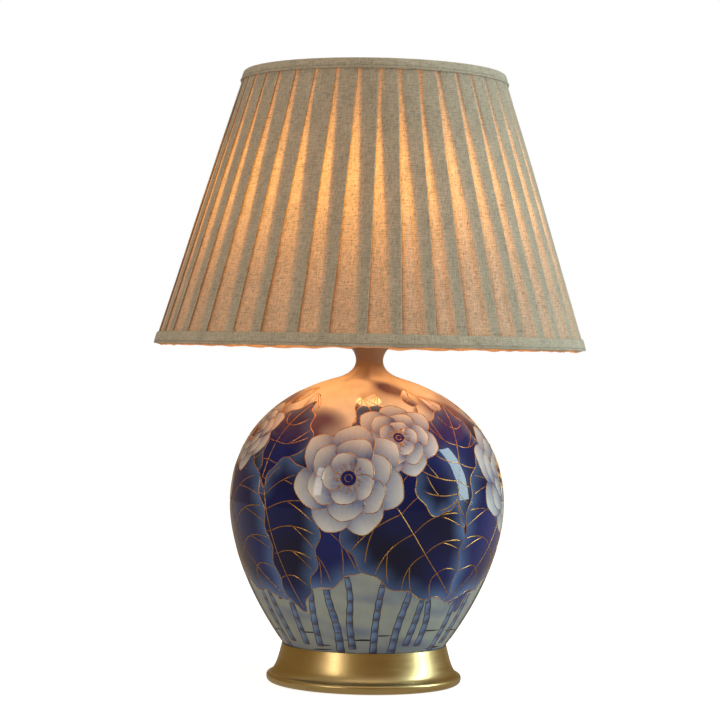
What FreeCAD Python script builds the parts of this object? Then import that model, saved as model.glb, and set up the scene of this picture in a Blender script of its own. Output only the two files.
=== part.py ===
import FreeCAD, Part
import os
from math import atan, atan2, cos, pi, radians, sin, sqrt

# Ginger jar table lamp with a knife-pleated linen shade.
# Lengths are millimetres and angles are degrees. +Z is up and the front faces -Y.
# The origin is the centre of the underside, on the table.

# ------------------------------------------------------------------ driving sizes

# Brass foot and what closes it underneath
foot_height = 36.2
foot_wall = 1.0
foot_lip_radius = 90.9
foot_lip_height = 5.8
foot_hem_radius = 87.2
foot_hem_inner_radius = 80.0
foot_cove_radius = 88.4
foot_cove_height = 9.5
foot_flare_pull_out = 3.0
foot_flare_pull_down = 12.5
foot_cove_pull_in = 5.6
foot_cove_pull_up = 2.0
foot_hem_lift = 0.8
felt_thickness = 2.0
felt_edge_gap = 0.4
board_thickness = 1.6
board_overlap = 5.5

# Pressed steel deck that carries the jar inside the foot
deck_thickness = 1.2
deck_flange = 5.0
deck_edge_gap = 0.2
gasket_thickness = 1.5
gasket_width = 10.0

# Jar, outside shape
jar_bottom_height = 31.0
jar_foot_radius = 71.65
jar_foot_angle = 52.0
jar_foot_pull = 41.7
jar_belly_radius = 127.9
jar_belly_height = 168.0
jar_belly_pull_down = 49.5
jar_belly_pull_up = 65.5
jar_shoulder_radius = 31.0
jar_shoulder_height = 284.4
jar_shoulder_angle = 15.1
jar_shoulder_pull = 52.6
neck_radius = 12.7
neck_rise = 16.6
lip_radius = 24.2
lip_rise = 19.4
lip_thickness = 4.4
jar_wall = 6.0
jar_floor = 7.0
neck_wall = 5.0
jar_rim_gap = 0.3
jar_inner_steps = 4

# Threaded rod and its fastenings
rod_diameter = 10.0
rod_bore = 6.4
rod_hole_gap = 0.2
washer_diameter = 36.0
washer_thickness = 1.5
lock_washer_diameter = 18.0
lock_washer_thickness = 1.6
nut_across_flats = 17.0
nut_thickness = 6.0
rod_tail = 4.0

# Cord inlet at the back of the foot
inlet_height = 18.0
inlet_bore = 7.0
inlet_barrel = 10.4
inlet_flange = 15.0
inlet_flange_thickness = 2.4
inlet_depth = 8.0
inlet_hole_gap = 0.1

# Cap on the jar's mouth
cap_gasket_thickness = 1.5
vase_cap_wall = 1.2
vase_cap_gap = 0.6
vase_cap_skirt = 5.0
vase_cap_bevel = 1.0
cap_nut_across_flats = 16.0
cap_nut_thickness = 5.0

# Lamp holder
socket_cap_radius = 17.4
socket_cap_height = 21.0
socket_cap_hub_radius = 9.0
socket_cap_hub_height = 5.0
socket_wall = 0.6
socket_joint_gap = 0.1
socket_shell_height = 53.0
socket_shell_overlap = 5.0
socket_bead = 1.6
liner_sleeve_wall = 0.8
liner_sleeve_show = 1.5
switch_core_height = 22.5
switch_core_gap = 0.2
screw_shell_bore = 26.5
screw_shell_wall = 0.5
screw_shell_height = 27.5
contact_radius = 3.2
contact_height = 1.4

# Turn knob of the switch
knob_stem_diameter = 3.2
knob_stem_gap = 0.3
knob_stem_root = 6.0
knob_hole_radius = 3.2
knob_length = 12.0
knob_reach = 34.0
knob_width = 11.0
knob_blade = 4.6
knob_height_in_core = 11.0

# Bulb
bulb_contact_gap = 0.3
bulb_contact_radius = 4.5
bulb_contact_thickness = 1.0
bulb_insulator_height = 3.3
bulb_cap_diameter = 25.8
bulb_cap_height = 23.0
bulb_cap_wall = 0.5
bulb_radius = 30.0
bulb_centre_rise = 81.8
bulb_glass_wall = 0.8
bulb_neck_length = 12.5
bulb_neck_pull = 17.0
bulb_side_pull = 24.0

# Harp, its saddle and its locking sleeves
harp_wire = 3.2
harp_foot_spacing = 57.4
harp_width = 110.0
harp_rise = 213.4
harp_straight_leg = 17.0
harp_flare_rise = 70.0
harp_top_radius = 35.0
harp_top_run = 16.0
harp_tongue_diameter = 4.8
harp_tongue_length = 13.0
harp_tongue_gap = 0.3
saddle_thickness = 1.5
saddle_width = 9.0
saddle_hub_radius = 10.0
saddle_bend = 6.0
saddle_arm_rise = 6.6
saddle_stub = 12.5
sleeve_length = 14.0
sleeve_bore = 5.6
sleeve_wall = 0.8
seat_gap = 0.3
stud_diameter = 6.2
stud_length = 11.0
stud_disc_radius = 8.0
stud_disc_thickness = 1.5
stud_collar_radius = 4.5
stud_collar_drop = 2.4

# Shade, at the outside of the pleated cloth
shade_height = 255.3
shade_bottom_diameter = 401.2
shade_top_diameter = 242.4
shade_recess = 19.6
ring_wire = 3.5
ring_flats = 6
backing_thickness = 0.8
trim_thickness = 0.9
trim_gap = 0.15
trim_fold = 0.35
trim_fold_width = 2.3
top_trim_width = 9.6
bottom_trim_width = 10.8
trim_turn_in = 8.6
shade_stack_gap = 0.1

# Knife pleats
pleat_count = 39
pleat_depth_top = 14.0
pleat_depth_bottom = 10.0
pleat_ramp = 3.0
pleat_offset_angle = 0.5
cloth_thickness = 0.5
cloth_layer_gap = 0.15
cloth_backing_gap = 0.35

# Spider that hangs the shade on the harp
spider_arms = 3
spider_arm_wire = 3.2
spider_hub_radius = 12.0
spider_hub_thickness = 1.5
spider_hole_gap = 0.3
spider_bend_radius = 20.0
spider_flat_reach = 30.0
spider_notch_gap = 0.8
notch_depth = 12.0
notch_inset = 8.0

# Finial
finial_height = 18.0
finial_base_radius = 6.5
finial_neck_radius = 4.6
finial_ball_radius = 7.2
finial_bore_depth = 11.5

# ------------------------------------------------------------------ derived heights

rod_hole_radius = rod_diameter / 2 + rod_hole_gap
neck_height = jar_shoulder_height + neck_rise
lip_height = neck_height + lip_rise

deck_top = jar_bottom_height - gasket_thickness
deck_bottom = deck_top - deck_thickness
washer_bottom = deck_bottom - washer_thickness
lock_washer_bottom = washer_bottom - lock_washer_thickness
nut_bottom = lock_washer_bottom - nut_thickness

cap_gasket_top = lip_height + cap_gasket_thickness
vase_cap_top = cap_gasket_top + vase_cap_wall
cap_nut_top = vase_cap_top + cap_nut_thickness
saddle_top = cap_nut_top + saddle_thickness
rod_top = saddle_top + socket_cap_hub_height - 0.5

socket_cap_top = saddle_top + socket_cap_height
socket_shell_radius = socket_cap_radius - socket_wall - socket_joint_gap
socket_shell_bottom = socket_cap_top - socket_shell_overlap
socket_shell_top = socket_shell_bottom + socket_shell_height
liner_sleeve_radius = socket_shell_radius - socket_wall - socket_joint_gap
switch_core_radius = liner_sleeve_radius - liner_sleeve_wall - switch_core_gap
switch_core_bottom = socket_shell_bottom + 0.5
switch_core_top = switch_core_bottom + switch_core_height
screw_shell_radius = screw_shell_bore / 2
knob_height = switch_core_bottom + knob_height_in_core

bulb_bottom = switch_core_top + contact_height + bulb_contact_gap
bulb_cap_bottom = bulb_bottom + bulb_contact_thickness + bulb_insulator_height
bulb_cap_top = bulb_cap_bottom + bulb_cap_height
bulb_centre = bulb_bottom + bulb_centre_rise

saddle_arm_top = cap_nut_top + saddle_arm_rise + saddle_thickness / 2
sleeve_bottom = saddle_arm_top + seat_gap
harp_tongue_bottom = saddle_arm_top + 2 * seat_gap
harp_leg_bottom = harp_tongue_bottom + harp_tongue_length - 1.0
harp_top = cap_nut_top + harp_rise + harp_wire / 2
stud_disc_top = harp_top + harp_wire / 2 + 1.0 + stud_disc_thickness

spider_hub_bottom = stud_disc_top + seat_gap
spider_hub_top = spider_hub_bottom + spider_hub_thickness
shade_top = spider_hub_top + shade_recess
shade_bottom = shade_top - shade_height
shade_taper = (shade_bottom_diameter - shade_top_diameter) / 2 / shade_height
finial_bottom = spider_hub_top + seat_gap

ORIGIN = FreeCAD.Vector(0, 0, 0)
UP = FreeCAD.Vector(0, 0, 1)
RIGHT = FreeCAD.Vector(1, 0, 0)
BACK = FreeCAD.Vector(0, 1, 0)

# ------------------------------------------------------------------ drawing helpers


def vec(x, y, z):
    return FreeCAD.Vector(x, y, z)


class Outline:
    """Half of a cross-section, drawn with (radius, height) points and spun about the axis."""

    def __init__(self, radius, height):
        self.first = (radius, height)
        self.here = self.first
        self.edges = []

    def _add(self, curve, end):
        self.edges.append(curve.toShape())
        self.here = end
        return self

    def line(self, radius, height):
        end = (radius, height)
        return self._add(Part.LineSegment(on_section(self.here), on_section(end)), end)

    def arc(self, through, end):
        return self._add(Part.Arc(on_section(self.here), on_section(through), on_section(end)), end)

    def curve(self, handle_1, handle_2, end):
        bezier = Part.BezierCurve()
        bezier.setPoles([on_section(point) for point in (self.here, handle_1, handle_2, end)])
        return self._add(bezier, end)

    def spin(self):
        if self.here != self.first:
            self.line(*self.first)
        return Part.Face(Part.Wire(self.edges)).revolve(ORIGIN, UP, 360)


class BentWire:
    """A wire path in the X-Z plane made of straight runs and tangent bends."""

    def __init__(self, x, z, heading):
        self.x = x
        self.z = z
        self.heading = radians(heading)
        self.edges = []

    def _point(self, x, z):
        return vec(x, 0, z)

    def run(self, length):
        x = self.x + length * cos(self.heading)
        z = self.z + length * sin(self.heading)
        self.edges.append(Part.makeLine(self._point(self.x, self.z), self._point(x, z)))
        self.x, self.z = x, z
        return self

    def bend(self, radius, turn):
        """Turn left by a positive angle and right by a negative one, in radians."""
        side = 1 if turn > 0 else -1
        centre_x = self.x - side * radius * sin(self.heading)
        centre_z = self.z + side * radius * cos(self.heading)
        points = []
        for share in (0.0, 0.5, 1.0):
            angle = self.heading - side * pi / 2 + share * turn
            points.append(self._point(centre_x + radius * cos(angle), centre_z + radius * sin(angle)))
        self.edges.append(Part.Arc(*points).toShape())
        self.x, self.z = points[2].x, points[2].z
        self.heading += turn
        return self

    def sweep(self, section):
        return Part.Wire(self.edges).makePipeShell([section], True, False)


def on_section(point):
    return vec(point[0], 0, point[1])


def ring(inner_radius, outer_radius, bottom, top):
    outline = Outline(inner_radius, bottom)
    outline.line(outer_radius, bottom)
    outline.line(outer_radius, top)
    outline.line(inner_radius, top)
    return outline.spin()


def disc(radius, bottom, top):
    return Part.makeCylinder(radius, top - bottom, vec(0, 0, bottom), UP)


def round_rims(cylinder):
    return [edge for edge in cylinder.Edges if isinstance(edge.Curve, Part.Circle)]


def hex_nut(across_flats, bottom, thickness):
    corner = across_flats / sqrt(3)
    corners = [vec(corner * cos(pi * i / 3), corner * sin(pi * i / 3), bottom) for i in range(7)]
    body = Part.Face(Part.makePolygon(corners)).extrude(UP * thickness)
    chamfer = (corner - across_flats / 2) * 0.8
    turned = Outline(0, bottom)
    turned.line(corner - chamfer, bottom)
    turned.line(corner, bottom + chamfer)
    turned.line(corner, bottom + thickness - chamfer)
    turned.line(corner - chamfer, bottom + thickness)
    turned.line(0, bottom + thickness)
    return body.common(turned.spin()).cut(disc(rod_hole_radius, bottom, bottom + thickness))


def bezier_point(poles, t):
    weights = ((1 - t) ** 3, 3 * t * (1 - t) ** 2, 3 * t * t * (1 - t), t ** 3)
    radius = sum(weight * pole[0] for weight, pole in zip(weights, poles))
    height = sum(weight * pole[1] for weight, pole in zip(weights, poles))
    return radius, height


def share_at(poles, height):
    """How far along it a curve that rises or falls all the way passes a height, from 0 to 1."""
    low, high = 0.0, 1.0
    rising = poles[3][1] > poles[0][1]
    for _ in range(50):
        middle = (low + high) / 2
        if (bezier_point(poles, middle)[1] < height) == rising:
            low = middle
        else:
            high = middle
    return low


def radius_at(poles, height):
    return bezier_point(poles, share_at(poles, height))[0]


def curve_above(poles, height):
    """The part of a rising curve above a height, as a curve of its own."""
    t = share_at(poles, height)
    kept = [poles[3]]
    while len(poles) > 1:
        poles = [tuple((1 - t) * a[i] + t * b[i] for i in (0, 1)) for a, b in zip(poles, poles[1:])]
        kept.insert(0, poles[-1])
    return kept


def inset_curve(poles, wall):
    """The same curve moved inwards by a wall, with its handles shortened in proportion."""
    ends = []
    for end, handle, side in ((poles[0], poles[1], 1), (poles[3], poles[2], -1)):
        slope = atan2(side * (handle[1] - end[1]), side * (handle[0] - end[0]))
        ends.append((end[0] - wall * sin(slope), end[1] + wall * cos(slope)))
    old_chord = sqrt((poles[3][0] - poles[0][0]) ** 2 + (poles[3][1] - poles[0][1]) ** 2)
    new_chord = sqrt((ends[1][0] - ends[0][0]) ** 2 + (ends[1][1] - ends[0][1]) ** 2)
    scale = new_chord / old_chord
    handle_1 = tuple(ends[0][i] + scale * (poles[1][i] - poles[0][i]) for i in (0, 1))
    handle_2 = tuple(ends[1][i] + scale * (poles[2][i] - poles[3][i]) for i in (0, 1))
    return [ends[0], handle_1, handle_2, ends[1]]


# ------------------------------------------------------------------ shared curves

foot_slope = radians(jar_foot_angle)
shoulder_slope = radians(jar_shoulder_angle)

jar_lower_curve = [
    (jar_foot_radius, jar_bottom_height),
    (jar_foot_radius + jar_foot_pull * cos(foot_slope),
     jar_bottom_height + jar_foot_pull * sin(foot_slope)),
    (jar_belly_radius, jar_belly_height - jar_belly_pull_down),
    (jar_belly_radius, jar_belly_height),
]
jar_upper_curve = [
    (jar_belly_radius, jar_belly_height),
    (jar_belly_radius, jar_belly_height + jar_belly_pull_up),
    (jar_shoulder_radius + jar_shoulder_pull * cos(shoulder_slope),
     jar_shoulder_height - jar_shoulder_pull * sin(shoulder_slope)),
    (jar_shoulder_radius, jar_shoulder_height),
]

foot_rim_radius = radius_at(jar_lower_curve, foot_height) + jar_rim_gap + foot_wall
foot_outer_curve = [
    (foot_rim_radius, foot_height),
    (foot_rim_radius + foot_flare_pull_out, foot_height - foot_flare_pull_down),
    (foot_cove_radius - foot_cove_pull_in, foot_cove_height + foot_cove_pull_up),
    (foot_cove_radius, foot_cove_height),
]
foot_inner_curve = [
    (foot_rim_radius - foot_wall, foot_height),
    (foot_rim_radius + foot_flare_pull_out - foot_wall, foot_height - foot_flare_pull_down),
    (foot_cove_radius - foot_cove_pull_in - foot_wall, foot_cove_height + foot_cove_pull_up - foot_wall),
    (foot_cove_radius - 0.3 * foot_wall, foot_cove_height - foot_wall),
]


def fabric_radius(height):
    """Outside of the pleats at a height of the shade."""
    return shade_bottom_diameter / 2 - shade_taper * (height - shade_bottom)


# Horizontal thickness of the shade's layers, from the outside of the pleats inwards
pleat_stack = 3 * cloth_thickness + 2 * cloth_layer_gap
backing_inset = pleat_stack + cloth_backing_gap
ring_space = ring_wire * sqrt(1 + shade_taper ** 2)
ring_inset = backing_inset + backing_thickness + shade_stack_gap + ring_space / 2
turn_in_inset = backing_inset + backing_thickness + 2 * shade_stack_gap + ring_space
edge_clearance = trim_thickness + shade_stack_gap
top_ring_height = shade_top - edge_clearance - ring_wire / 2
bottom_ring_height = shade_bottom + edge_clearance + ring_wire / 2


# ------------------------------------------------------------------ foot


def foot_envelope():
    """Everything inside the outer face of the brass foot."""
    outline = Outline(0, foot_hem_lift)
    outline.line(foot_hem_radius, foot_hem_lift)
    outline.arc((foot_lip_radius - 0.9, foot_hem_lift + 1.6), (foot_lip_radius, foot_lip_height))
    outline.arc((foot_lip_radius - 0.6, foot_cove_height - 1.2), foot_outer_curve[3])
    outline.curve(foot_outer_curve[2], foot_outer_curve[1], foot_outer_curve[0])
    outline.line(0, foot_height)
    return outline.spin()


def inlet_cylinder(diameter, depth, reach):
    """Cylinder on the cord inlet's axis, from inside the wall to outside it."""
    wall = radius_at(foot_outer_curve, inlet_height)
    return Part.makeCylinder(diameter / 2, depth + reach, vec(0, wall - depth, inlet_height), BACK)


def brass_foot():
    outline = Outline(foot_rim_radius - foot_wall, foot_height)
    outline.line(foot_rim_radius, foot_height)
    outline.curve(foot_outer_curve[1], foot_outer_curve[2], foot_outer_curve[3])
    outline.arc((foot_lip_radius - 0.6, foot_cove_height - 1.2), (foot_lip_radius, foot_lip_height))
    outline.arc((foot_lip_radius - 0.9, foot_hem_lift + 1.6), (foot_hem_radius, foot_hem_lift))
    outline.line(foot_hem_inner_radius, foot_hem_lift)
    outline.line(foot_hem_inner_radius, felt_thickness)
    outline.line(foot_hem_radius - 0.4, felt_thickness)
    outline.line(foot_lip_radius - foot_wall, foot_lip_height)
    outline.line(*foot_inner_curve[3])
    outline.curve(foot_inner_curve[2], foot_inner_curve[1], foot_inner_curve[0])
    shell = outline.spin()
    return shell.cut(inlet_cylinder(inlet_barrel + 2 * inlet_hole_gap, inlet_depth, inlet_depth))


def felt_pad():
    return disc(foot_hem_inner_radius - felt_edge_gap, 0, felt_thickness)


def bottom_board():
    return disc(foot_hem_inner_radius + board_overlap, felt_thickness,
                felt_thickness + board_thickness)


def foot_deck():
    radius = radius_at(foot_inner_curve, deck_top) - deck_edge_gap
    outline = Outline(rod_hole_radius, deck_bottom)
    outline.line(radius - deck_thickness, deck_bottom)
    outline.line(radius - deck_thickness, deck_top - deck_flange)
    outline.line(radius, deck_top - deck_flange)
    outline.line(radius, deck_top - deck_thickness)
    outline.line(radius - deck_thickness, deck_top)
    outline.line(rod_hole_radius, deck_top)
    return outline.spin()


def jar_gasket():
    return ring(jar_foot_radius - gasket_width - 1.0, jar_foot_radius - 1.0,
                deck_top, jar_bottom_height)


def cord_bushing():
    flange = inlet_cylinder(inlet_flange, inlet_depth, inlet_flange_thickness)
    flange = flange.cut(foot_envelope())
    face = radius_at(foot_outer_curve, inlet_height) + inlet_flange_thickness
    rim = [edge for edge in flange.Edges if abs(edge.CenterOfMass.y - face) < 0.01]
    flange = flange.makeFillet(inlet_flange_thickness / 3, rim)
    barrel = inlet_cylinder(inlet_barrel, inlet_depth, inlet_flange_thickness / 2)
    bore = inlet_cylinder(inlet_bore, inlet_depth, inlet_flange_thickness)
    return flange.fuse(barrel).removeSplitter().cut(bore)


# ------------------------------------------------------------------ jar and rod


def jar():
    outline = Outline(rod_hole_radius, jar_bottom_height)
    outline.line(*jar_lower_curve[0])
    outline.curve(*jar_lower_curve[1:])
    outline.curve(*jar_upper_curve[1:])
    reach = (jar_shoulder_radius - neck_radius) * 0.73
    outline.curve((jar_shoulder_radius - reach, jar_shoulder_height + reach * sin(shoulder_slope)),
                  (neck_radius, neck_height - 6.5),
                  (neck_radius, neck_height))
    lip_bottom = lip_height - lip_thickness
    outline.curve((neck_radius, neck_height + 3.0),
                  (neck_radius + 1.8, lip_bottom - 3.5),
                  (lip_radius - 0.7, lip_bottom))
    outline.arc((lip_radius, lip_height - lip_thickness / 2), (lip_radius - 2.2, lip_height))
    mouth_radius = lip_radius - 7.5
    outline.line(mouth_radius, lip_height)
    bore = neck_radius - neck_wall
    outline.line(bore, neck_height + lip_rise / 2)
    inner_upper = inset_curve(jar_upper_curve, jar_wall)
    floor_height = jar_bottom_height + jar_floor
    inner_lower = curve_above(inset_curve(jar_lower_curve, jar_wall), floor_height)
    throat = (bore, neck_height - 8.0)
    outline.line(*throat)
    shoulder = inner_upper[3]
    outline.line(bore + neck_wall, shoulder[1] + 2 * neck_wall * sin(shoulder_slope))
    outline.line(*shoulder)
    for curve in (inner_upper, inner_lower):
        for step in range(jar_inner_steps - 1, -1, -1):
            outline.line(*bezier_point(curve, step / jar_inner_steps))
    outline.line(rod_hole_radius, floor_height)
    return outline.spin()


def threaded_rod():
    return ring(rod_bore / 2, rod_diameter / 2, nut_bottom - rod_tail, rod_top)


def foot_washer():
    return ring(rod_hole_radius, washer_diameter / 2, washer_bottom, deck_bottom)


def lock_washer():
    return ring(rod_hole_radius, lock_washer_diameter / 2, lock_washer_bottom, washer_bottom)


def foot_nut():
    return hex_nut(nut_across_flats, nut_bottom, nut_thickness)


def cap_gasket():
    return ring(rod_hole_radius, lip_radius - 2.5, lip_height, cap_gasket_top)


def vase_cap():
    inner = lip_radius + vase_cap_gap
    outer = inner + vase_cap_wall
    outline = Outline(rod_hole_radius, cap_gasket_top)
    outline.line(inner, cap_gasket_top)
    outline.line(inner, cap_gasket_top - vase_cap_skirt)
    outline.line(outer, cap_gasket_top - vase_cap_skirt)
    outline.line(outer, vase_cap_top - vase_cap_bevel)
    outline.line(outer - vase_cap_bevel, vase_cap_top)
    outline.line(rod_hole_radius, vase_cap_top)
    return outline.spin()


def cap_nut():
    return hex_nut(cap_nut_across_flats, vase_cap_top, cap_nut_thickness)


# ------------------------------------------------------------------ lamp holder


def socket_cap():
    wall = socket_wall
    outer = socket_cap_radius
    hub = socket_cap_hub_radius
    base = saddle_top
    hub_top = base + socket_cap_hub_height
    dome_top = base + socket_cap_height - socket_shell_overlap - 1.0
    outline = Outline(rod_hole_radius, base)
    outline.line(hub, base)
    outline.line(hub, base + 3.5)
    outline.curve((hub, base + 7.5), (outer, base + 6.5), (outer, dome_top))
    outline.line(outer, socket_cap_top)
    outline.line(outer - wall, socket_cap_top)
    outline.line(outer - wall, dome_top)
    outline.curve((outer - wall, base + 7.4), (hub - wall, base + 8.4), (hub - wall, hub_top))
    outline.line(rod_hole_radius, hub_top)
    return outline.spin()


def knob_hole(radius):
    return Part.makeCylinder(radius, socket_cap_radius + 5, vec(0, 0, knob_height), BACK * -1)


def socket_shell():
    outer = socket_shell_radius
    inner = outer - socket_wall
    outline = Outline(inner, socket_shell_bottom)
    outline.line(outer, socket_shell_bottom)
    outline.line(outer, socket_shell_top - 2 * socket_bead)
    outline.line(outer + socket_bead / 2, socket_shell_top - 1.5 * socket_bead)
    outline.line(outer + socket_bead / 2, socket_shell_top - socket_bead / 2)
    outline.line(outer, socket_shell_top)
    outline.line(inner, socket_shell_top)
    return outline.spin().cut(knob_hole(knob_hole_radius))


def socket_liner():
    radius = liner_sleeve_radius
    sleeve = ring(radius - liner_sleeve_wall, radius,
                  switch_core_bottom, socket_shell_top + liner_sleeve_show)
    return sleeve.cut(knob_hole(knob_hole_radius))


def switch_core():
    core = disc(switch_core_radius, switch_core_bottom, switch_core_top)
    core = core.makeChamfer(0.6, round_rims(core))
    stem_bore = knob_stem_diameter / 2 + knob_stem_gap
    depth = Part.makeCylinder(stem_bore, switch_core_radius - knob_stem_root + knob_stem_gap + 1,
                              vec(0, -knob_stem_root + knob_stem_gap, knob_height), BACK * -1)
    return core.cut(depth)


def screw_shell():
    return ring(screw_shell_radius, screw_shell_radius + screw_shell_wall,
                switch_core_top, switch_core_top + screw_shell_height)


def centre_contact():
    outline = Outline(0, switch_core_top)
    outline.line(contact_radius, switch_core_top)
    outline.line(contact_radius, switch_core_top + 0.5)
    outline.curve((contact_radius, switch_core_top + 1.0),
                  (contact_radius / 2, switch_core_top + contact_height),
                  (0, switch_core_top + contact_height))
    return outline.spin()


def switch_knob():
    front = -knob_reach
    back = front + knob_length
    stem = Part.makeCylinder(knob_stem_diameter / 2, -knob_stem_root - back,
                             vec(0, back, knob_height), BACK)
    grip = Part.makeCylinder(knob_width / 2, knob_length, vec(0, front, knob_height), BACK)
    grip = grip.makeFillet(1.2, round_rims(grip))
    collar = Part.makeCylinder(knob_stem_diameter, 2.5, vec(0, back - 2.5, knob_height), BACK)
    blade = Part.makeBox(knob_blade, knob_length + 2, knob_width + 2,
                         vec(-knob_blade / 2, front - 1, knob_height - knob_width / 2 - 1))
    return grip.common(blade).fuse([collar, stem]).removeSplitter()


# ------------------------------------------------------------------ bulb


def bulb_contact():
    return disc(bulb_contact_radius, bulb_bottom, bulb_bottom + bulb_contact_thickness)


def bulb_insulator():
    base = bulb_bottom + bulb_contact_thickness
    outline = Outline(0, base)
    outline.line(bulb_contact_radius + 0.8, base)
    outline.line(bulb_cap_diameter / 2 - bulb_cap_wall, bulb_cap_bottom)
    outline.line(0, bulb_cap_bottom)
    return outline.spin()


def bulb_cap():
    radius = bulb_cap_diameter / 2
    return ring(radius - bulb_cap_wall, radius, bulb_cap_bottom, bulb_cap_top)


def bulb_glass():
    neck = bulb_cap_diameter / 2 - bulb_cap_wall - 0.1
    wall = bulb_glass_wall
    start = bulb_cap_top - bulb_neck_length
    knee = bulb_cap_top + 1.0
    top = bulb_centre + bulb_radius
    half = sqrt(0.5)
    outline = Outline(neck, start)
    outline.line(neck, knee)
    outline.curve((neck, knee + bulb_neck_pull), (bulb_radius, bulb_centre - bulb_side_pull),
                  (bulb_radius, bulb_centre))
    outline.arc((bulb_radius * half, bulb_centre + bulb_radius * half), (0, top))
    inner = bulb_radius - wall
    outline.line(0, top - wall)
    outline.arc((inner * half, bulb_centre + inner * half), (inner, bulb_centre))
    outline.curve((inner, bulb_centre - bulb_side_pull), (neck - wall, knee + bulb_neck_pull),
                  (neck - wall, knee))
    outline.line(neck - wall, start)
    return outline.spin()


# ------------------------------------------------------------------ harp


def half_round(side, inward, bottom, top):
    """Half of a round bar on a harp foot's axis, on its inward or outward side."""
    x = side * harp_foot_spacing / 2
    bar = Part.makeCylinder(harp_tongue_diameter / 2, top - bottom, vec(x, 0, bottom), UP)
    size = 4 * harp_tongue_diameter
    away = -side if inward else side
    edge = x + away * harp_tongue_gap / 2
    keep = Part.makeBox(size, size, top - bottom,
                        vec(edge if away > 0 else edge - size, -size / 2, bottom))
    return bar.common(keep)


def harp_saddle():
    centre_height = cap_nut_top + saddle_thickness / 2
    arm_x = harp_foot_spacing / 2 + harp_tongue_gap / 2 + saddle_thickness / 2
    half = saddle_thickness / 2
    width = saddle_width / 2
    corners = ((-arm_x - half, -width), (-arm_x + half, -width), (-arm_x + half, width), (-arm_x - half, width))
    points = [vec(x, y, saddle_arm_top) for x, y in corners]
    section = Part.makePolygon(points + [points[0]])
    drop = saddle_arm_top - centre_height - saddle_bend
    path = BentWire(-arm_x, saddle_arm_top, -90)
    path.run(drop)
    path.bend(saddle_bend, pi / 2)
    path.run(2 * (arm_x - saddle_bend))
    path.bend(saddle_bend, pi / 2)
    path.run(drop)
    strip = path.sweep(section)
    hub = disc(saddle_hub_radius, cap_nut_top, saddle_top)
    stubs = [half_round(side, False, saddle_arm_top - 0.1, saddle_arm_top + saddle_stub)
             for side in (-1, 1)]
    hole = disc(rod_hole_radius, cap_nut_top - 1, saddle_top + 1)
    return strip.fuse([hub] + stubs).removeSplitter().cut(hole)


def harp():
    foot_x = harp_foot_spacing / 2
    flare = harp_width / 2 - foot_x
    flare_turn = 2 * atan(flare / harp_flare_rise)
    flare_radius = harp_flare_rise / 2 / sin(flare_turn)
    across = harp_width / 2 - harp_top_run / 2
    rise = harp_top - harp_leg_bottom - harp_straight_leg - harp_flare_rise
    side_turn = 2 * atan((across - harp_top_radius) / (rise - harp_top_radius))
    side_radius = (across - harp_top_radius * cos(side_turn)) / (1 - cos(side_turn))
    path = BentWire(foot_x, harp_leg_bottom, 90)
    path.run(harp_straight_leg)
    path.bend(flare_radius, -flare_turn)
    path.bend(flare_radius, flare_turn)
    path.bend(side_radius, side_turn)
    path.bend(harp_top_radius, pi / 2 - side_turn)
    path.run(harp_top_run)
    path.bend(harp_top_radius, pi / 2 - side_turn)
    path.bend(side_radius, side_turn)
    path.bend(flare_radius, flare_turn)
    path.bend(flare_radius, -flare_turn)
    path.run(harp_straight_leg)
    section = Part.Wire([Part.makeCircle(harp_wire / 2, vec(foot_x, 0, harp_leg_bottom), UP)])
    bow = path.sweep(section)
    tongues = [half_round(side, True, harp_tongue_bottom, harp_tongue_bottom + harp_tongue_length)
               for side in (-1, 1)]
    return bow.fuse(tongues).removeSplitter()


def harp_stud():
    disc_bottom = stud_disc_top - stud_disc_thickness
    collar = disc(stud_collar_radius, harp_top - stud_collar_drop, disc_bottom)
    plate = disc(stud_disc_radius, disc_bottom, stud_disc_top)
    stud = disc(stud_diameter / 2, stud_disc_top, stud_disc_top + stud_length)
    wire_hole = Part.makeCylinder(harp_wire / 2, 4 * stud_collar_radius,
                                  vec(-2 * stud_collar_radius, 0, harp_top), RIGHT)
    return collar.fuse([plate, stud]).removeSplitter().cut(wire_hole)


def locking_sleeve(side):
    sleeve = ring(sleeve_bore / 2, sleeve_bore / 2 + sleeve_wall,
                  sleeve_bottom, sleeve_bottom + sleeve_length)
    sleeve.translate(vec(side * harp_foot_spacing / 2, 0, 0))
    return sleeve


# ------------------------------------------------------------------ shade


def wire_ring(height):
    """Round wire hoop, hidden in the fold of a trim and drawn with flats."""
    centre = fabric_radius(height) - ring_inset
    corners = []
    for side in range(ring_flats):
        angle = 2 * pi * (side + 0.5) / ring_flats
        corners.append((centre + ring_wire / 2 * cos(angle), height + ring_wire / 2 * sin(angle)))
    outline = Outline(*corners[0])
    for corner in corners[1:]:
        outline.line(*corner)
    return outline.spin()


def shade_backing():
    bottom = shade_bottom + edge_clearance
    top = shade_top - edge_clearance
    outline = Outline(fabric_radius(bottom) - backing_inset - backing_thickness, bottom)
    outline.line(fabric_radius(bottom) - backing_inset, bottom)
    outline.line(fabric_radius(top) - backing_inset, top)
    outline.line(fabric_radius(top) - backing_inset - backing_thickness, top)
    return outline.spin()


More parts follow.
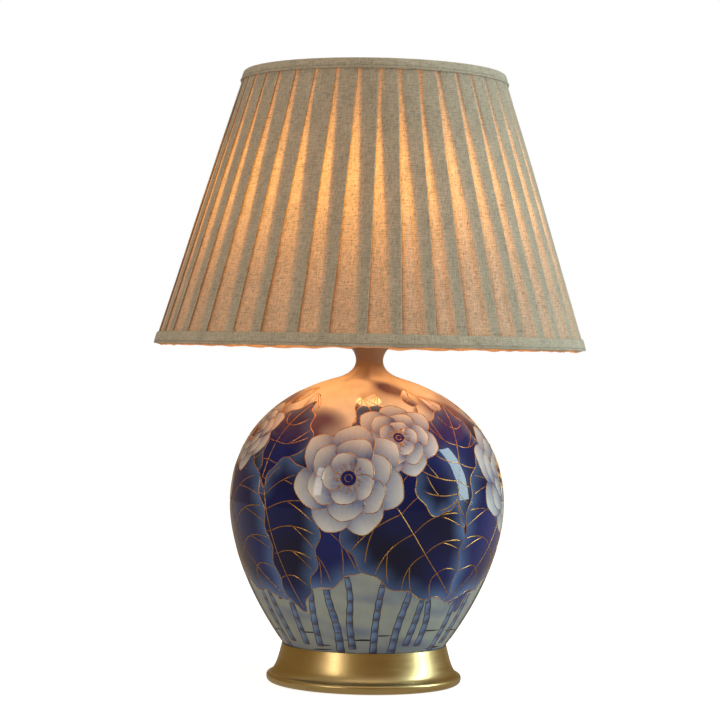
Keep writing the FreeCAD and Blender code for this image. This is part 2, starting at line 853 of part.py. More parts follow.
def pleat_slice(height, depth):
    """Outer and inner line of the folded cloth at one height, as two closed lists of points.

    The cloth lies on the backing, climbs over the next pleat's two hidden layers, folds back
    under itself at the visible edge, and folds forward again at the hidden one.
    """
    base = fabric_radius(height) - pleat_stack
    pitch = 2 * pi / pleat_count
    thick = cloth_thickness
    middle = thick + cloth_layer_gap
    upper = 2 * middle
    outer = []
    inner = []

    def place(points, angle, offset, lift):
        turn = angle + offset / base
        points.append(vec((base + lift) * cos(turn), (base + lift) * sin(turn), height))

    for pleat in range(pleat_count):
        edge = radians(pleat_offset_angle - 90) + pleat * pitch
        following = edge + pitch
        ramp_end = -depth - cloth_layer_gap
        place(outer, edge, thick - depth, middle)
        place(outer, edge, thick - depth, thick)
        place(outer, edge, 0, thick)
        place(outer, following, ramp_end - pleat_ramp, thick)
        place(outer, following, ramp_end, upper + thick)
        place(outer, following, 0, upper + thick)
        place(outer, following, 0, middle)
        place(inner, edge, -depth, middle + thick)
        place(inner, edge, -depth, 0)
        place(inner, edge, 0, 0)
        place(inner, following, ramp_end - pleat_ramp, 0)
        place(inner, following, ramp_end, upper)
        place(inner, following, -thick, upper)
        place(inner, following, -thick, middle + thick)
    return outer, inner


def pleated_cover():
    bottom = shade_bottom + edge_clearance
    top = shade_top - edge_clearance
    low_lines = pleat_slice(bottom, pleat_depth_bottom)
    high_lines = pleat_slice(top, pleat_depth_top)
    faces = []
    for low, high in zip(low_lines, high_lines):
        for i in range(len(low)):
            below = Part.makeLine(low[i - 1], low[i])
            above = Part.makeLine(high[i - 1], high[i])
            faces.append(Part.makeRuledSurface(below, above))
    for lines in (low_lines, high_lines):
        loops = [Part.makePolygon(points + [points[0]]) for points in lines]
        faces.append(Part.makeFace(loops, "Part::FaceMakerBullseye"))
    shell = Part.makeShell(faces)
    shell.sewShape(1e-4)
    solid = Part.makeSolid(shell)
    if solid.Volume < 0:
        solid.reverse()
    return solid


def folded_trim(edge_height, inward, width):
    """Band of cloth folded over one rim of the shade; inward is the way from the rim, +1 or -1."""

    def corner(offset, distance):
        height = edge_height + inward * distance
        return fabric_radius(height) + offset, height

    outside = trim_gap + trim_thickness
    outline = Outline(*corner(trim_gap, width))
    outline.line(*corner(outside + trim_fold, width))
    outline.line(*corner(outside + trim_fold, width - trim_fold_width))
    outline.line(*corner(outside, width - trim_fold_width))
    outline.line(*corner(outside, trim_thickness))
    outline.line(*corner(trim_gap, 0))
    outline.line(*corner(-turn_in_inset, 0))
    outline.line(*corner(-turn_in_inset - trim_thickness, trim_thickness))
    outline.line(*corner(-turn_in_inset - trim_thickness, trim_turn_in))
    outline.line(*corner(-turn_in_inset, trim_turn_in))
    outline.line(*corner(-turn_in_inset, trim_thickness))
    outline.line(*corner(trim_gap, trim_thickness))
    return outline.spin()


def spider_angles():
    return [90 + 360 * arm / spider_arms for arm in range(spider_arms)]


def top_trim():
    band = folded_trim(shade_top, -1, top_trim_width)
    radius = fabric_radius(shade_top) - turn_in_inset
    width = spider_arm_wire + 2 * spider_notch_gap
    bottom = shade_top - trim_turn_in - 1
    height = top_ring_height + width / 2 - bottom
    for angle in spider_angles():
        notch = Part.makeBox(notch_depth, width, height, vec(radius - notch_inset, -width / 2, bottom))
        notch.rotate(ORIGIN, UP, angle)
        band = band.cut(notch)
    return band


def bottom_trim():
    return folded_trim(shade_bottom, 1, bottom_trim_width)


def spider():
    hub = disc(spider_hub_radius, spider_hub_bottom, spider_hub_top)
    arm_height = spider_hub_bottom + spider_arm_wire / 2
    ring_radius = fabric_radius(top_ring_height) - ring_inset
    slope = atan2(top_ring_height - arm_height, ring_radius - spider_flat_reach)
    setback = spider_bend_radius * (1 - cos(slope)) / sin(slope)
    start = spider_hub_radius - 3.0
    sloped = (ring_radius - spider_flat_reach) / cos(slope)
    path = BentWire(start, arm_height, 0)
    path.run(spider_flat_reach - setback - start)
    path.bend(spider_bend_radius, slope)
    path.run(sloped - setback)
    section = Part.Wire([Part.makeCircle(spider_arm_wire / 2, vec(start, 0, arm_height), RIGHT)])
    arm = path.sweep(section).cut(wire_ring(top_ring_height))
    arms = []
    for angle in spider_angles():
        copy = arm.copy()
        copy.rotate(ORIGIN, UP, angle)
        arms.append(copy)
    body = hub.fuse(arms).removeSplitter()
    hole = stud_diameter / 2 + spider_hole_gap
    return body.cut(disc(hole, spider_hub_bottom - 5, spider_hub_top + 5))


def finial():
    base = finial_bottom
    top = base + finial_height
    bore = stud_diameter / 2 + seat_gap
    outline = Outline(bore, base)
    outline.line(finial_base_radius, base)
    outline.line(finial_base_radius, base + 1.4)
    outline.curve((finial_base_radius, base + 2.6), (finial_neck_radius, base + 2.4),
                  (finial_neck_radius, base + 4.2))
    outline.curve((finial_neck_radius, base + 6.2), (finial_ball_radius, base + 6.6),
                  (finial_ball_radius, base + 10.0))
    outline.curve((finial_ball_radius, top - 3.6), (finial_ball_radius / 2, top), (0, top))
    outline.line(0, base + finial_bore_depth)
    outline.line(bore, base + finial_bore_depth)
    return outline.spin()


# ------------------------------------------------------------------ the sub-parts

nodes = {
    "felt_pad": felt_pad(),
    "bottom_board": bottom_board(),
    "brass_foot": brass_foot(),
    "cord_bushing": cord_bushing(),
    "foot_deck": foot_deck(),
    "foot_washer": foot_washer(),
    "lock_washer": lock_washer(),
    "foot_nut": foot_nut(),
    "jar_gasket": jar_gasket(),
    "jar": jar(),
    "threaded_rod": threaded_rod(),
    "cap_gasket": cap_gasket(),
    "vase_cap": vase_cap(),
    "cap_nut": cap_nut(),
    "harp_saddle": harp_saddle(),
    "socket_cap": socket_cap(),
    "socket_shell": socket_shell(),
    "socket_liner": socket_liner(),
    "switch_core": switch_core(),
    "screw_shell": screw_shell(),
    "centre_contact": centre_contact(),
    "switch_knob": switch_knob(),
    "bulb_contact": bulb_contact(),
    "bulb_insulator": bulb_insulator(),
    "bulb_cap": bulb_cap(),
    "bulb_glass": bulb_glass(),
    "harp": harp(),
    "harp_stud": harp_stud(),
    "sleeve_left": locking_sleeve(-1),
    "sleeve_right": locking_sleeve(1),
    "spider": spider(),
    "top_ring": wire_ring(top_ring_height),
    "bottom_ring": wire_ring(bottom_ring_height),
    "shade_backing": shade_backing(),
    "pleated_cover": pleated_cover(),
    "top_trim": top_trim(),
    "bottom_trim": bottom_trim(),
    "finial": finial(),
}

os.makedirs("parts", exist_ok=True)
for name, shape in nodes.items():
    if not shape.isValid() or len(shape.Solids) != 1:
        raise ValueError(name + " is not one valid solid")
    shape.exportStep("parts/" + name + ".step")
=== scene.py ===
"""Ginger jar table lamp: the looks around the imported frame."""
import random
from math import cos, degrees, hypot, pi, radians, sin, sqrt, tau

import bpy
import numpy as np
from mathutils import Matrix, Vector, noise
from mathutils.geometry import delaunay_2d_cdt


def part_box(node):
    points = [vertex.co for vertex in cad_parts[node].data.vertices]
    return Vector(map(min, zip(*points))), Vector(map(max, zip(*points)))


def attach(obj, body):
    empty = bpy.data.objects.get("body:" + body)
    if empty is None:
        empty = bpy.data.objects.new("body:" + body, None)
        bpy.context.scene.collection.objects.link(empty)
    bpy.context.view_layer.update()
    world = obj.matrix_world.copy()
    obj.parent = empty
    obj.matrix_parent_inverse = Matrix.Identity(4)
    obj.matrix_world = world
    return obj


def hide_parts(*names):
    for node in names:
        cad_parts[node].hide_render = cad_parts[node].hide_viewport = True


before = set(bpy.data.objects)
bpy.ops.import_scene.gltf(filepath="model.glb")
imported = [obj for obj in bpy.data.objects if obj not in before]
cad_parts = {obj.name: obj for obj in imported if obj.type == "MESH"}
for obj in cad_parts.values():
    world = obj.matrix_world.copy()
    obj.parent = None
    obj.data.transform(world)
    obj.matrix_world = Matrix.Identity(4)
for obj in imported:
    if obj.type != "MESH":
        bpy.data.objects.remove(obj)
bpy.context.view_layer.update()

MM = 0.001

# ------------------------------------------------------------------ sizes, in millimetres

# Jar, outside
jar_bottom_height = 31.0
jar_foot_radius = 71.65
jar_foot_angle = 52.0
jar_foot_pull = 41.7
jar_belly_radius = 127.9
jar_belly_height = 168.0
jar_belly_pull_down = 49.5
jar_belly_pull_up = 65.5
jar_shoulder_radius = 31.0
jar_shoulder_height = 284.4
jar_shoulder_angle = 15.1
jar_shoulder_pull = 52.6
neck_radius = 12.7
neck_height = 301.0
lip_radius = 24.2
lip_height = 320.4
lip_thickness = 4.4
jar_wall = 6.0
neck_wall = 5.0
rod_hole_radius = 5.2
lip_round = 2.2
jar_floor = 38.0
foot_ring_width = 4.0
neck_blend = 0.73
neck_pull_down = 6.5
flare_pull_up = 3.0
flare_pull_out = 1.8
flare_pull_down = 3.5
lip_corner = 0.7
mouth_inset = 7.5
throat_pull_in = 4.5
throat_pull_down = 7.0
bore_pull_up = 9.0
bore_top = 3.0
bore_bottom = 8.0

# Shade, at the outside of the pleated cloth
shade_height = 255.3
shade_bottom_radius = 200.6
shade_top_radius = 121.2
shade_bottom = 313.3
shade_top = shade_bottom + shade_height
shade_taper = (shade_bottom_radius - shade_top_radius) / shade_height
cloth_thickness = 0.5
cloth_layer_gap = 0.15
pleat_stack = 3 * cloth_thickness + 2 * cloth_layer_gap
cover_inset = 1.0
turn_in_inset = 6.99
trim_thickness = 0.9
trim_fold_width = 2.3
top_trim_width = 9.6
bottom_trim_width = 10.8
trim_turn_in = 8.6

# Fold edges of the pleats in degrees from the front, at the shade's bottom and top
seen_folds_bottom = [-71.4, -64.4, -55.5, -47.0, -37.3, -28.9, -18.5, -10.5, -1.0, 7.9, 16.7, 25.1,
                     34.7, 43.1, 51.0, 59.0]
seen_folds_top = [-69.0, -61.2, -52.1, -43.7, -34.6, -25.2, -16.0, -7.0, 1.7, 9.4, 17.8, 25.6,
                  34.7, 43.3, 51.6, 60.8]
pleat_count = 39
joined_pleat = 6
pleat_depth_top = 14.0
pleat_depth_bottom = 10.0
pleat_ramp = 5.0
least_single_layer = 3.5
valley_lift = 0.9
free_edge_lift = 1.5
light_edge_width = 4.5
shadow_inset = 0.8
shadow_spread = 3.4
least_lit_width = 3.2

# Stitches and the loose edge of the bottom trim
stitch_pitch = 3.4
stitch_length = 2.5
stitch_thickness = 0.42
trim_puff = 0.22
loose_edge_wave = 1.5
loose_edge_hang = 1.3

# Felt
felt_edge_round = 0.35
felt_unevenness = 0.12

# Bulb: the middle of its globe, and where its glow rises from dim to full
bulb_height = 452.1
bulb_radius = 30.0
glow_low = 398.0
glow_high = 440.0
bulb_strength = 25.0


def srgb(red, green, blue):
    """A colour written in 0-255 display values, as Blender's linear one."""
    made = []
    for value in (red, green, blue):
        share = value / 255
        made.append(share / 12.92 if share <= 0.04045 else ((share + 0.055) / 1.055) ** 2.4)
    return (*made, 1.0)


# ------------------------------------------------------------------ materials


class Finish:
    """A node material around one Principled shader."""

    def __init__(self, name, base, **constants):
        self.material = bpy.data.materials.new(name)
        self.material.use_nodes = True
        self.tree = self.material.node_tree
        self.shader = self.tree.nodes["Principled BSDF"]
        self.set("Base Color", base)
        for key, value in constants.items():
            self.set(key.replace("_", " ").title().replace("Ior", "IOR"), value)

    def set(self, socket, value):
        self.feed(self.shader.inputs[socket], value)

    def feed(self, socket, value):
        if isinstance(value, bpy.types.Node):
            value = value.outputs[0]
        if isinstance(value, bpy.types.NodeSocket):
            self.tree.links.new(value, socket)
        else:
            socket.default_value = value

    def node(self, kind, sockets=None, **settings):
        made = self.tree.nodes.new("ShaderNode" + kind)
        for key, value in settings.items():
            setattr(made, key, value)
        for key, value in (sockets or {}).items():
            self.feed(made.inputs[key], value)
        return made

    def place(self, scale=(1, 1, 1)):
        """Object coordinates in metres, stretched."""
        at = self.node("TexCoord").outputs["Object"]
        return self.node("Mapping", {"Vector": at, "Scale": scale})

    def cloth(self, scale=(1, 1, 1)):
        """The cloth's own flat coordinates in metres, stretched."""
        at = self.node("UVMap", uv_map="cloth")
        return self.node("Mapping", {"Vector": at, "Scale": scale})

    def axes(self):
        """Object coordinates in metres, one output for each axis."""
        return self.node("SeparateXYZ", {0: self.node("TexCoord").outputs["Object"]}).outputs

    def turned(self, along, across):
        """Coordinates that make long marks round the lamp's axis and fine ones across it."""
        x, y, z = self.axes()
        radius = self.math("SQRT", self.weigh(x, x, y, y))
        safe = self.math("MAXIMUM", radius, 1e-5)
        lines = self.math("MULTIPLY", self.math("SUBTRACT", z, radius), across)
        round_x, round_y = (self.math("MULTIPLY", self.math("DIVIDE", side, safe), along) for side in (x, y))
        return self.node("CombineXYZ", {0: round_x, 1: round_y, 2: lines})

    def math(self, operation, first, second=0.0):
        return self.node("Math", {0: first, 1: second}, operation=operation)

    def weigh(self, first, share, second, rest):
        """The sum of two values, each times its share."""
        return self.math("ADD", self.math("MULTIPLY", first, share), self.math("MULTIPLY", second, rest))

    def grey(self, value):
        return self.node("CombineXYZ", {0: value, 1: value, 2: value})

    def tint_by(self, value, base, low, high):
        """The base colour, from base times low to base times high."""
        self.set("Base Color", self.mix(value, tinted(base, low), tinted(base, high)))

    def noise(self, at, scale=1.0, detail=3.0, roughness=0.5):
        return self.node("TexNoise", {"Vector": at, "Scale": scale, "Detail": detail,
                                      "Roughness": roughness})

    def remap(self, value, low, high, to_low=0.0, to_high=1.0):
        return self.node("MapRange", {0: value, 1: low, 2: high, 3: to_low, 4: to_high})

    def mix(self, share, first, second, blend="MIX"):
        sockets = {0: share, 6: first, 7: second}
        return self.node("Mix", sockets, data_type="RGBA", blend_type=blend).outputs[2]

    def attribute(self, name, output="Color"):
        return self.node("Attribute", attribute_name=name).outputs[output]

    def bump(self, height, strength, distance):
        self.set("Normal", self.node("Bump", {"Height": height, "Strength": strength, "Distance": distance}))


def tinted(colour, share):
    return tuple(channel * share for channel in colour[:3]) + (1.0,)


def speckled(name, base, scale, spread, bump, **constants):
    """A plain material with fine cloudy variation, for moulded, pressed and plated parts."""
    made = Finish(name, base, **constants)
    grain = made.noise(made.place(), scale, 4.0)
    cloud = made.noise(made.place(), scale / 12, 2.0)
    made.tint_by(made.weigh(grain, 0.4, cloud, 0.6), base, 1 - spread, 1 + spread)
    rough = made.shader.inputs["Roughness"].default_value
    made.set("Roughness", made.remap(cloud, 0.3, 0.7, rough * 0.8, rough * 1.25))
    made.bump(grain, bump, 0.0002)
    return made.material


def brushed_brass():
    """Satin brass with fine brushing round the axis and a little browning in soft patches."""
    base = srgb(212, 190, 138)
    made = Finish("brushed_brass", base, metallic=1.0, roughness=0.35, anisotropic=0.35)
    fine = made.noise(made.turned(5.0, 2600.0), 1.0, 4.0, 0.6)
    broad = made.noise(made.turned(2.0, 260.0), 1.0, 2.0)
    stain = made.noise(made.place(), 18.0, 3.0)
    lines = made.weigh(fine, 0.65, broad, 0.35)
    worn = made.mix(lines, tinted(base, 0.84), tinted(base, 1.12))
    made.set("Base Color", made.mix(made.remap(stain, 0.45, 0.8, 0.0, 0.35), worn, srgb(170, 122, 62)))
    made.set("Roughness", made.remap(lines, 0.25, 0.75, 0.24, 0.4))
    made.set("Tangent", made.node("Tangent", direction_type="RADIAL", axis="Z"))
    made.bump(lines, 0.35, 0.00005)
    return made.material


def polished_brass():
    base = srgb(222, 184, 108)
    made = Finish("polished_brass", base, metallic=1.0, roughness=0.16)
    marks = made.noise(made.turned(4.0, 900.0), 1.0, 3.0)
    haze = made.noise(made.place(), 90.0, 3.0)
    made.tint_by(haze, base, 0.86, 1.05)
    made.set("Roughness", made.remap(marks, 0.3, 0.7, 0.1, 0.24))
    made.bump(marks, 0.15, 0.00003)
    return made.material


def threaded(name, base, pitch, **constants):
    """Metal with a fine screw thread cut round the axis."""
    made = Finish(name, base, **constants)
    x, y, z = made.axes()
    turn = made.math("DIVIDE", made.math("ARCTAN2", y, x), tau)
    saw = made.math("PINGPONG", made.math("SUBTRACT", made.math("DIVIDE", z, pitch * MM), turn), 0.5)
    made.tint_by(made.noise(made.place(), 220.0, 3.0), base, 0.7, 1.1)
    made.bump(saw, 0.8, pitch * 0.5 * MM)
    return made.material


def zinc_steel():
    return speckled("zinc_steel", srgb(186, 190, 192), 260.0, 0.12, 0.12, metallic=1.0, roughness=0.34)


def brassed_wire():
    base = srgb(212, 174, 104)
    made = Finish("brassed_wire", base, metallic=1.0, roughness=0.26)
    drawn = made.noise(made.place((900.0, 900.0, 30.0)), 1.0, 3.0)
    spots = made.noise(made.place(), 18.0, 2.0)
    made.tint_by(spots, base, 0.92, 1.04)
    made.set("Roughness", made.remap(drawn, 0.3, 0.7, 0.2, 0.36))
    made.bump(drawn, 0.15, 0.00004)
    return made.material


def nickelled_shell():
    return speckled("nickelled_shell", srgb(204, 200, 190), 240.0, 0.08, 0.08, metallic=1.0, roughness=0.24)


def contact_brass():
    return speckled("contact_brass", srgb(214, 180, 110), 300.0, 0.14, 0.1, metallic=1.0, roughness=0.3)


def fibreboard():
    """Pressed brown board with short fibres."""
    base = srgb(134, 104, 72)
    made = Finish("fibreboard", base, roughness=0.88)
    hairs = made.noise(made.place((500.0, 120.0, 500.0)), 1.0, 5.0, 0.7)
    flecks = made.noise(made.place(), 700.0, 3.0)
    both = made.weigh(hairs, 0.6, flecks, 0.4)
    made.tint_by(made.remap(both, 0.3, 0.7), base, 0.6, 1.35)
    made.bump(both, 0.5, 0.0003)
    return made.material


def insulating_paper():
    return speckled("insulating_paper", srgb(168, 140, 98), 500.0, 0.18, 0.3, roughness=0.8)


def black_phenolic():
    return speckled("black_phenolic", srgb(34, 32, 31), 420.0, 0.3, 0.12, roughness=0.36)


def black_knob():
    return speckled("black_knob", srgb(26, 25, 25), 380.0, 0.25, 0.1, roughness=0.28)


def rubber():
    return speckled("rubber", srgb(42, 40, 38), 650.0, 0.3, 0.4, roughness=0.72)


def black_glass():
    return speckled("black_glass", srgb(16, 16, 20), 120.0, 0.3, 0.05, roughness=0.1, coat_weight=0.5)


def moulded_bushing():
    return speckled("moulded_bushing", srgb(96, 70, 44), 500.0, 0.2, 0.25, roughness=0.5)


def frosted_glass():
    """Lit bulb: its glow is brightest round the middle and falls off towards the cap."""
    made = Finish("frosted_glass", srgb(250, 244, 230), roughness=0.45, coat_weight=0.3)
    rise = made.remap(made.axes()[2], glow_low * MM, glow_high * MM)
    frost = made.noise(made.place(), 1400.0, 2.0)
    made.set("Base Color", made.mix(frost, srgb(240, 232, 214), srgb(255, 250, 240)))
    made.set("Emission Color", made.mix(rise, srgb(255, 150, 60), srgb(255, 198, 124)))
    made.set("Emission Strength", bulb_strength)
    made.bump(frost, 0.1, 0.0001)
    return made.material


def backing_sheet():
    """Translucent liner of the shade, warm with the lamp's light behind it."""
    made = Finish("backing_sheet", srgb(202, 168, 122), roughness=0.5)
    far = made.math("ABSOLUTE", made.math("SUBTRACT", made.axes()[2], bulb_height * MM))
    fibres = made.noise(made.place((60.0, 60.0, 400.0)), 4.0, 4.0)
    made.set("Base Color", made.mix(fibres, srgb(190, 156, 112), srgb(212, 180, 134)))
    near = made.mix(made.remap(far, 0.0, 0.15), srgb(255, 196, 112), srgb(226, 138, 62))
    made.set("Emission Color", near)
    made.set("Emission Strength", 0.2)
    made.bump(fibres, 0.15, 0.0002)
    return made.material


linen = srgb(181, 171, 152)


def linen_cloth(name, roughness, light, relief):
    """Linen with uneven threads both ways and dark slubs, darkened by painted shade where its crease
    attribute says so.
    """
    made = Finish(name, linen, roughness=roughness, sheen_weight=0.15, sheen_roughness=0.5)
    warp = made.noise(made.cloth((1300.0, 110.0, 1.0)), 1.0, 3.0, 0.65)
    weft = made.noise(made.cloth((110.0, 1300.0, 1.0)), 1.0, 3.0, 0.65)
    cloud = made.noise(made.cloth((60.0, 40.0, 1.0)), 1.0, 3.0)
    threads = made.math("ADD", made.math("ADD", warp, weft), made.math("MULTIPLY", cloud, 0.35))
    flecks = made.noise(made.cloth((620.0, 330.0, 1.0)), 1.0, 2.0, 0.4)
    across = made.noise(made.cloth((170.0, 900.0, 1.0)), 1.0, 2.0, 0.4)
    slubs = made.math("MAXIMUM", flecks, made.math("SUBTRACT", across, 0.01))
    grid = {"Scale": 200.0, "Distortion": 1.2, "Detail": 1.0, "Detail Scale": 2.0}
    waves = [made.node("TexWave", {"Vector": made.cloth(), **grid}, bands_direction=way).outputs["Fac"]
             for way in ("X", "Y")]
    made.bump(made.weigh(threads, 0.6, made.math("ADD", *waves), 0.25), relief, 0.0003)
    # The light factor scales the whole cloth's tone, so a larger one paints the same linen lighter.
    tone = made.remap(threads, 0.88, 1.5, 0.62 * light, 1.3 * light)
    fleck = made.remap(slubs, 0.58, 0.7, 1.0, 0.72)
    # The crease attribute is painted shade beside the pleats' fold edges and in the trims' seams.
    shade = made.math("MULTIPLY", made.math("MULTIPLY", tone, fleck), made.attribute("crease_shade", "Fac"))
    made.set("Base Color", made.mix(1.0, linen, made.grey(shade), "MULTIPLY"))
    return made, threads, slubs


def pleated_linen():
    """Linen that glows where one layer covers the liner and stays grey where folds lie behind it."""
    made, threads, slubs = linen_cloth("pleated_linen", 0.86, 1.0, 0.5)
    glow = made.attribute("glow", "Fac")
    made.set("Emission Color", made.mix(made.remap(glow, 0.3, 0.95), srgb(255, 142, 38), srgb(255, 170, 62)))
    strength = made.math("MULTIPLY", glow, made.remap(threads, 0.88, 1.5, 0.5, 1.42))
    made.set("Emission Strength", made.math("MULTIPLY", strength, made.remap(slubs, 0.57, 0.7, 0.94, 0.48)))
    return made.material


def trim_linen():
    """The trims' linen, which glows only along its turned-in edge."""
    # Painted light: 1.14 makes the trims a lighter copy of the pleats' linen.
    made, threads, _ = linen_cloth("trim_linen", 0.88, 1.14, 0.55)
    glow = made.remap(threads, 0.88, 1.5, 0.5, 0.9)
    made.set("Emission Color", srgb(255, 150, 56))
    made.set("Emission Strength", made.math("MULTIPLY", made.attribute("glow", "Fac"), glow))
    return made.material


def sewing_thread():
    return speckled("sewing_thread", srgb(176, 164, 140), 2600.0, 0.2, 0.4, roughness=0.7)


def felt():
    base = srgb(52, 58, 50)
    made = Finish("felt", base, roughness=0.96, sheen_weight=0.4)
    hairs = made.noise(made.place(), 900.0, 6.0, 0.75)
    clumps = made.noise(made.place(), 70.0, 3.0)
    both = made.weigh(hairs, 0.7, clumps, 0.3)
    made.tint_by(made.remap(both, 0.3, 0.7), base, 0.55, 1.5)
    made.bump(both, 0.7, 0.0005)
    return made.material


def painted_glaze():
    """Underglaze painting below a clear glossy glaze."""
    made = Finish("painted_glaze", (1, 1, 1, 1), roughness=0.3, specular_ior_level=0.1, coat_weight=0.6,
                  coat_roughness=0.03)
    wash = made.noise(made.place(), 55.0, 5.0, 0.6)
    pooled = made.noise(made.place((1.0, 1.0, 1.6)), 14.0, 3.0)
    tone = made.math("MULTIPLY", made.remap(wash, 0.3, 0.7, 0.9, 1.1),
                     made.remap(pooled, 0.3, 0.7, 0.93, 1.07))
    made.set("Base Color", made.mix(1.0, made.attribute("paint"), made.grey(tone), "MULTIPLY"))
    made.bump(made.noise(made.place(), 26.0, 2.0), 0.12, 0.0008)
    return made.material


def fired_gold():
    made = Finish("fired_gold", srgb(214, 160, 84), metallic=1.0, roughness=0.3)
    worn = made.noise(made.place(), 240.0, 4.0)
    made.set("Base Color", made.mix(worn, srgb(150, 100, 46), srgb(232, 182, 104)))
    made.set("Roughness", made.remap(worn, 0.3, 0.7, 0.2, 0.42))
    made.bump(worn, 0.3, 0.00008)
    return made.material


def umber_line():
    made = Finish("umber_line", srgb(58, 42, 34), roughness=0.3, coat_weight=0.4)
    worn = made.noise(made.place(), 240.0, 4.0)
    made.set("Base Color", made.mix(worn, srgb(36, 28, 30), srgb(96, 66, 42)))
    made.bump(worn, 0.2, 0.00008)
    return made.material


def threaded_rod():
    return threaded("threaded_rod", srgb(190, 184, 170), 1.0, metallic=1.0, roughness=0.35)


def threaded_cap():
    return threaded("threaded_cap", srgb(206, 196, 170), 3.6, metallic=1.0, roughness=0.3)


finishes = {make.__name__: make() for make in (
    fibreboard, brushed_brass, polished_brass, zinc_steel, brassed_wire, nickelled_shell, contact_brass,
    insulating_paper, black_phenolic, black_knob, rubber, black_glass, moulded_bushing, frosted_glass,
    backing_sheet, pleated_linen, trim_linen, sewing_thread, felt, painted_glaze, fired_gold, umber_line,
    threaded_rod, threaded_cap)}

nodes_by_finish = {
    "fibreboard": ["bottom_board"],
    "brushed_brass": ["brass_foot"],
    "moulded_bushing": ["cord_bushing"],
    "zinc_steel": ["foot_deck", "foot_washer", "lock_washer", "foot_nut", "top_ring", "bottom_ring"],
    "rubber": ["jar_gasket", "cap_gasket"],
    "threaded_rod": ["threaded_rod"],
    "polished_brass": ["vase_cap", "cap_nut", "socket_cap", "socket_shell", "harp_stud", "sleeve_left",
                       "sleeve_right", "finial"],
    "brassed_wire": ["harp_saddle", "harp", "spider"],
    "insulating_paper": ["socket_liner"],
    "black_phenolic": ["switch_core"],
    "nickelled_shell": ["screw_shell"],
    "contact_brass": ["centre_contact", "bulb_contact"],
    "black_knob": ["switch_knob"],
    "black_glass": ["bulb_insulator"],
    "threaded_cap": ["bulb_cap"],
    "frosted_glass": ["bulb_glass"],
    "backing_sheet": ["shade_backing"],
}


def dress_frame():
    for finish, names in nodes_by_finish.items():
        for name in names:
            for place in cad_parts[name].material_slots:
                place.material = finishes[finish]


# ------------------------------------------------------------------ mesh helpers


def linked(name, data):
    made = bpy.data.objects.new(name, data)
    bpy.context.scene.collection.objects.link(made)
    return made


def add_piece(name, points, faces, finish, body):
    """A smooth piece from points in millimetres that moves with one body."""
    mesh = bpy.data.meshes.new(name)
    mesh.from_pydata([tuple(value * MM for value in point) for point in points], [], faces)
    mesh.validate()
    mesh.materials.append(finishes[finish])
    mesh.shade_smooth()
    made = linked(name, mesh)
    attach(made, body)
    return made


def point_values(piece, name, values):
    made = piece.data.attributes.new(name, "FLOAT", "POINT")
    made.data.foreach_set("value", np.asarray(values, np.float32))


def corner_uv(piece, name, uv):
    """A UV map from one (u, v) per face corner, or from one per vertex."""
    flat = np.asarray(uv, np.float32)
    if len(flat) == len(piece.data.vertices):
        corners = np.empty(len(piece.data.loops), np.int32)
        piece.data.loops.foreach_get("vertex_index", corners)
        flat = flat[corners]
    piece.data.uv_layers.new(name=name).data.foreach_set("uv", flat.ravel())


def soft_piece(name, points, faces, finish, node, glows, crease_shades, bake, cloth):
    """A piece of cloth that stands for one soft solid of the shade, with its glow, its painted crease shade
    and its maps.
    """
    made = add_piece(name, points, faces, finish, "shade")
    point_values(made, "glow", glows)
    point_values(made, "crease_shade", crease_shades)
    corner_uv(made, "OFBake", bake)
    corner_uv(made, "cloth", cloth)
    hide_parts(node)
    return made


def path_lengths(path):
    """The length along a flat path up to each of its points."""
    lengths = [0.0]
    for here, after in zip(path, path[1:]):
        lengths.append(lengths[-1] + hypot(after[0] - here[0], after[1] - here[1]))
    return lengths


def bezier(poles, share):
    rest = 1 - share
    weights = (rest ** 3, 3 * rest * rest * share, 3 * rest * share * share, share ** 3)
    return tuple(sum(w * pole[i] for w, pole in zip(weights, poles)) for i in (0, 1))


def fabric_radius(height):
    return shade_bottom_radius - shade_taper * (height - shade_bottom)


# ------------------------------------------------------------------ pleated cover

rows = 33
hidden_count = pleat_count - len(seen_folds_bottom)


def all_folds(seen):
    """The folds seen from the front, and even ones round the back."""
    step = (360 + seen[0] - seen[-1]) / (hidden_count + 1)
    return seen + [seen[-1] + step * (i + 1) for i in range(hidden_count)]


folds_bottom = all_folds(seen_folds_bottom)
folds_top = all_folds(seen_folds_top)


def wander(number, height, size):
    """A small smooth drift that differs from pleat to pleat."""
    return size * noise.noise(Vector((number * 7.31, height * 0.012, 3.7)))


def fold_angle(number, height):
    """Where a pleat's visible edge is, in degrees from the front."""
    turns, place = divmod(number, pleat_count)
    share = (height - shade_bottom) / shade_height
    edge = folds_bottom[place] * (1 - share) + folds_top[place] * share
    middle = 4 * share * (1 - share)
    return edge + 360 * turns + degrees(wander(place, height, 0.9) * middle / fabric_radius(height))


def fold_depth(number, height):
    share = (height - shade_bottom) / shade_height
    depth = pleat_depth_bottom * (1 - share) + pleat_depth_top * share
    place = number % pleat_count
    depth *= 1 + 0.16 * noise.noise(Vector((place * 3.17, 0.4, 9.1)))
    if place == joined_pleat:
        depth += 1.5 + 2.5 * share
    return depth


